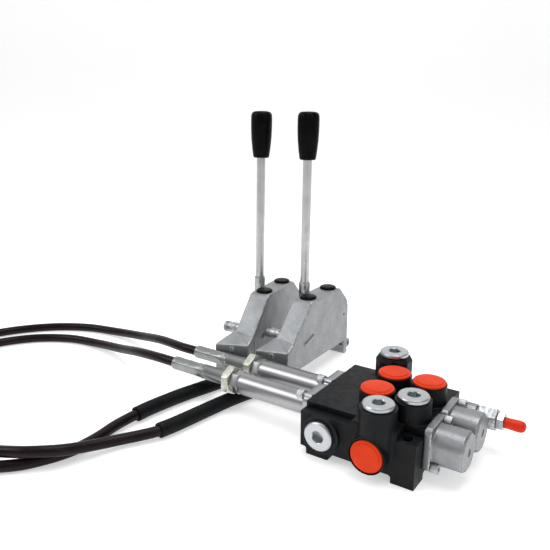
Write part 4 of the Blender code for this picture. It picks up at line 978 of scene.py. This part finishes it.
def make_levers():
    """A cast hub and arm with a socket, into which the steel rod is pressed."""
    hub_left, hub_right = -0.0243, -BOX_HALF_W - 0.0010
    arm_top, socket_low, socket_top, rod_top = 0.043, 0.039, 0.0505, 0.199
    forging = cast("lever_arm", [
        rod("hub", (hub_left, 0, 0), ALONG_X, hub_right - hub_left, 0.0098),
        block("arm", (LEVER_X - 0.0041, -0.0056, 0.004), (LEVER_X + 0.0041, 0.0056, arm_top)),
        rod("socket", (LEVER_X, 0, socket_low), UP, socket_top - socket_low, 0.0063),
    ], 0.0006, 3)
    cut(forging, [
        rod("bore", (hub_left + 0.003, 0, 0), ALONG_X, 0.03, PIVOT_BORE_R),
        rod("seat", (LEVER_X, 0, socket_top - 0.0012), UP, 0.01, 0.0051, far_radius=0.0060),
        rod("set_screw", (LEVER_X, -0.0046, 0.030), -ALONG_Y, 0.01, 0.0018, sides=32),
    ])
    steel = lathe("lever_rod", [(0, rod_top), (0.0043, rod_top), (0.0049, rod_top - 0.0008),
                                (0.0049, socket_top - 0.004), (0, socket_top - 0.004)], 64)
    steel.data.transform(Matrix.Translation((LEVER_X, 0, 0)))
    cut(forging, [steel], "UNION")
    for side in SIDES:
        stand_for(copy_at(forging, f"lever_arm_{side}", lever_place(side)), f"lever_{side}", 34)
        make_knob(side)
    bpy.data.objects.remove(forging)


def make_knob(side):
    """A gloss grip: straight over its upper part, tapering to a narrow foot."""
    base, height, widest = 0.1885, 0.051, 0.0118
    knob = lathe(f"grip_{side}", [
        (0, height), (widest * 0.55, height - 0.0003), (widest * 0.80, height - 0.0011),
        (widest * 0.93, height - 0.0028), (widest * 0.985, height - 0.0052), (widest, height - 0.0090),
        (widest * 0.995, height * 0.62), (widest * 0.96, height * 0.42), (widest * 0.87, height * 0.20),
        (widest * 0.78, height * 0.045), (widest * 0.74, 0.0006, 0.0003), (widest * 0.68, 0, 0.0003),
        (0.0052, 0), (0.0052, height * 0.22), (0, height * 0.22),
    ])
    knob.data.transform(lever_place(side) @ Matrix.Translation((LEVER_X, 0, base)))
    stand_for(knob, f"knob_{side}", 50)


# Cables

JACKET_ROUTE = {
    "front": (
        (-0.249, -0.018, 0.0287), (-0.272, -0.018, 0.0287), (-0.31, -0.012, 0.024),
        (-0.355, 0.0005, 0.0135), (-0.402, 0.0075, 0.0067), (-0.448, 0.0005, 0.0053),
        (-0.486, -0.024, 0.0053), (-0.511, -0.062, 0.0053), (-0.521, -0.108, 0.0053),
        (-0.515, -0.157, 0.0053), (-0.492, -0.201, 0.0053),
        (-0.453, -0.232, 0.0053), (-0.405, -0.245, 0.0053), (-0.37, -0.239, 0.0053),
        (-0.3383, -0.2308, 0.006), (-0.3052, -0.2222, 0.0095), (-0.2722, -0.2145, 0.0145),
        (-0.2504, -0.2055, 0.0165), (-0.2379, -0.1953, 0.016), (-0.2286, -0.1827, 0.014),
        (-0.2223, -0.1673, 0.011), (-0.2162, -0.151, 0.0085), (-0.2085, -0.1339, 0.007),
        (-0.199, -0.119, 0.007),
    ),
    "rear": (
        (-0.249, 0.018, 0.0287), (-0.272, 0.018, 0.0287), (-0.315, 0.029, 0.024),
        (-0.365, 0.043, 0.0135), (-0.415, 0.048, 0.0067), (-0.462, 0.039, 0.0053),
        (-0.503, 0.013, 0.0053), (-0.535, -0.027, 0.0053), (-0.552, -0.075, 0.0053),
        (-0.554, -0.128, 0.0053), (-0.54, -0.18, 0.0053), (-0.511, -0.225, 0.0053),
        (-0.47, -0.259, 0.0053), (-0.42, -0.277, 0.0053), (-0.367, -0.276, 0.0053),
        (-0.325, -0.261, 0.0053), (-0.2921, -0.2392, 0.0053), (-0.268, -0.223, 0.0053),
        (-0.2506, -0.2068, 0.0053), (-0.2403, -0.1899, 0.0053), (-0.2339, -0.1744, 0.0053),
        (-0.2308, -0.1588, 0.0053), (-0.231, -0.1391, 0.0053),
        (-0.2316, -0.118, 0.0067),
    ),
}
SLEEVE_ROUTE = {
    "front": (
        (-0.19045, -0.1046, 0.0075), (-0.1855, -0.084, 0.0076), (-0.18, -0.05, 0.0074),
        (-0.1745, -0.02, 0.0074), (-0.169, 0.0000, 0.0075), (-0.1635, 0.015, 0.0076),
        (-0.1597, 0.027, 0.009), (-0.1595, 0.0366, 0.01),
    ),
    "rear": (
        (-0.22995, -0.0946, 0.0075), (-0.2283, -0.078, 0.0076), (-0.2235, -0.05, 0.0074),
        (-0.2175, -0.026, 0.0074), (-0.211, -0.005, 0.0075), (-0.207, 0.009, 0.008),
        (-0.2056, 0.0195, 0.0092), (-0.2065, 0.029, 0.01),
    ),
}


def smooth_route(points, steps=8):
    """Points along the Catmull-Rom curve through the given ones."""
    ways = [Vector(point) for point in points]
    ways = [2 * ways[0] - ways[1]] + ways + [2 * ways[-1] - ways[-2]]
    made = []
    for before, start, end, after in zip(ways, ways[1:], ways[2:], ways[3:]):
        for step in range(steps):
            t = step / steps
            made.append(0.5 * (2 * start + (end - before) * t
                               + (2 * before - 5 * start + 4 * end - after) * t ** 2
                               + (3 * start - before - 3 * end + after) * t ** 3))
    return made + [ways[-2]]


def swept(name, points, section):
    """A hollow round tube along the points. section has (radius, reverse) pairs: the outer wall runs along
    the points, and the inner one back, in reverse."""
    bm = bmesh.new()
    sides, rings = 40, []
    for radius, reverse in section:
        ordered = list(reversed(points)) if reverse else points
        for index, point in enumerate(ordered):
            before = ordered[max(index - 1, 0)]
            after = ordered[min(index + 1, len(ordered) - 1)]
            tangent = (after - before).normalized() * (-1 if reverse else 1)
            across = tangent.cross(UP).normalized()
            over = across.cross(tangent)
            ring = []
            for step in range(sides):
                angle = 2 * math.pi * step / sides
                spoke = across * math.cos(angle) + over * math.sin(angle)
                ring.append(bm.verts.new(point + spoke * radius))
            rings.append(ring)
    bridge(bm, rings, closed=True)
    return new_object(name, bm)


def make_cable(side):
    """The jacket from its ferrule, through the rubber sleeve, into the bore of the toe."""
    bore_end = box_place(side) @ Vector((CABLE_EXIT.x, -0.064, CABLE_EXIT.z))
    route = smooth_route([*JACKET_ROUTE[side], *SLEEVE_ROUTE[side], bore_end])
    curve = bpy.data.curves.new(f"conduit_{side}", "CURVE")
    curve.dimensions = "3D"
    curve.bevel_depth = CONDUIT_R
    curve.bevel_resolution = 8
    curve.use_fill_caps = True
    spline = curve.splines.new("POLY")
    spline.points.add(len(route) - 1)
    for point, place in zip(spline.points, route):
        point.co = (*place, 1)
    spline.use_smooth = True
    jacket = linked(f"conduit_{side}", curve)
    curve.materials.append(MATERIALS["conduit_jacket"])
    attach(jacket, "valve")
    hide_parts(f"cable_jacket_{side}")

    sleeve = swept(f"rubber_sleeve_{side}", smooth_route(SLEEVE_ROUTE[side]),
                   ((SLEEVE_R, False), (SLEEVE_BORE_R, True)))
    stand_for(bevelled(sleeve, 0.0004, 2, 50), f"cable_sleeve_{side}", 40)


# Floor, light and camera

CAMERA_AT, CAMERA_PITCH, CAMERA_TURN, LENS_MM = (0.18244, -0.46810, 0.30116), 74.03, 34.0, 40.96
SUBJECT = Vector((-0.10, 0.03, 0.06))
FLOOR_GLOW, WORLD_STRENGTH = 0.48, 0.36
FLOOR_HALF_WIDTH, FLOOR_NEAR, FLOOR_FAR, BEND_R, BACKDROP_TOP = 6.0, -4.0, 2.2, 1.2, 5.0


def make_floor():
    """A pale floor that curves up into a backdrop, square to the camera."""
    turn = Matrix.Rotation(math.radians(CAMERA_TURN), 4, "Z")
    profile = [(FLOOR_NEAR, 0.0), *arc((FLOOR_FAR, BEND_R), BEND_R, -90, 0, 24),
               (FLOOR_FAR + BEND_R, BACKDROP_TOP)]
    bm = bmesh.new()
    rows = [[bm.verts.new((x, along, height)) for x in (-FLOOR_HALF_WIDTH, FLOOR_HALF_WIDTH)]
            for along, height in profile]
    for first, second in zip(rows, rows[1:]):
        bm.faces.new((first[0], first[1], second[1], second[0]))
    floor = new_object("floor", bm, turn)
    floor.data.shade_smooth()
    made = material("floor", (0.86, 0.86, 0.86), 0.6)
    set_shader(made, Base_Color=ramp(made, noise(made, 3, 2), (0.855, 0.855, 0.855), (0.87, 0.87, 0.87)),
               Emission_Strength=FLOOR_GLOW, Emission_Color=(1, 1, 1, 1), Specular_IOR_Level=0.15)
    floor.data.materials.append(made)


def area_light(name, direction, distance, size, power):
    light = bpy.data.lights.new(name, "AREA")
    light.shape = "RECTANGLE"
    light.size, light.size_y = size
    light.energy = power
    lamp = linked(name, light)
    lamp.location = SUBJECT + Vector(direction).normalized() * distance
    lamp.rotation_euler = (SUBJECT - lamp.location).to_track_quat("-Z", "Y").to_euler()


def light_scene():
    area_light("overhead", (0.05, 0.10, 1.0), 1.6, (1.3, 0.9), 13)
    area_light("left_key", (-0.9, -0.75, 1.0), 1.8, (0.8, 0.8), 9)
    area_light("right_fill", (1.0, -0.3, 0.7), 1.8, (0.7, 0.9), 2.5)
    world = bpy.data.worlds.new("pale_room")
    world.use_nodes = True
    background = world.node_tree.nodes["Background"]
    background.inputs["Color"].default_value = (1, 1, 1, 1)
    background.inputs["Strength"].default_value = WORLD_STRENGTH
    bpy.context.scene.world = world


def place_camera():
    camera = bpy.data.cameras.new("camera")
    camera.lens = LENS_MM
    camera.sensor_width = 36
    viewer = linked("camera", camera)
    viewer.location = CAMERA_AT
    viewer.rotation_euler = (math.radians(CAMERA_PITCH), 0, math.radians(CAMERA_TURN))
    bpy.context.scene.camera = viewer


make_body()
make_closures()
make_end_caps()
make_adapters()
make_screws()
make_cable_ends()
make_relief_valve()
make_lever_boxes()
make_levers()
for cable_side in SIDES:
    make_cable(cable_side)
finish_kept_nodes()
make_floor()
light_scene()
place_camera()
bpy.context.scene.view_settings.view_transform = "Standard"
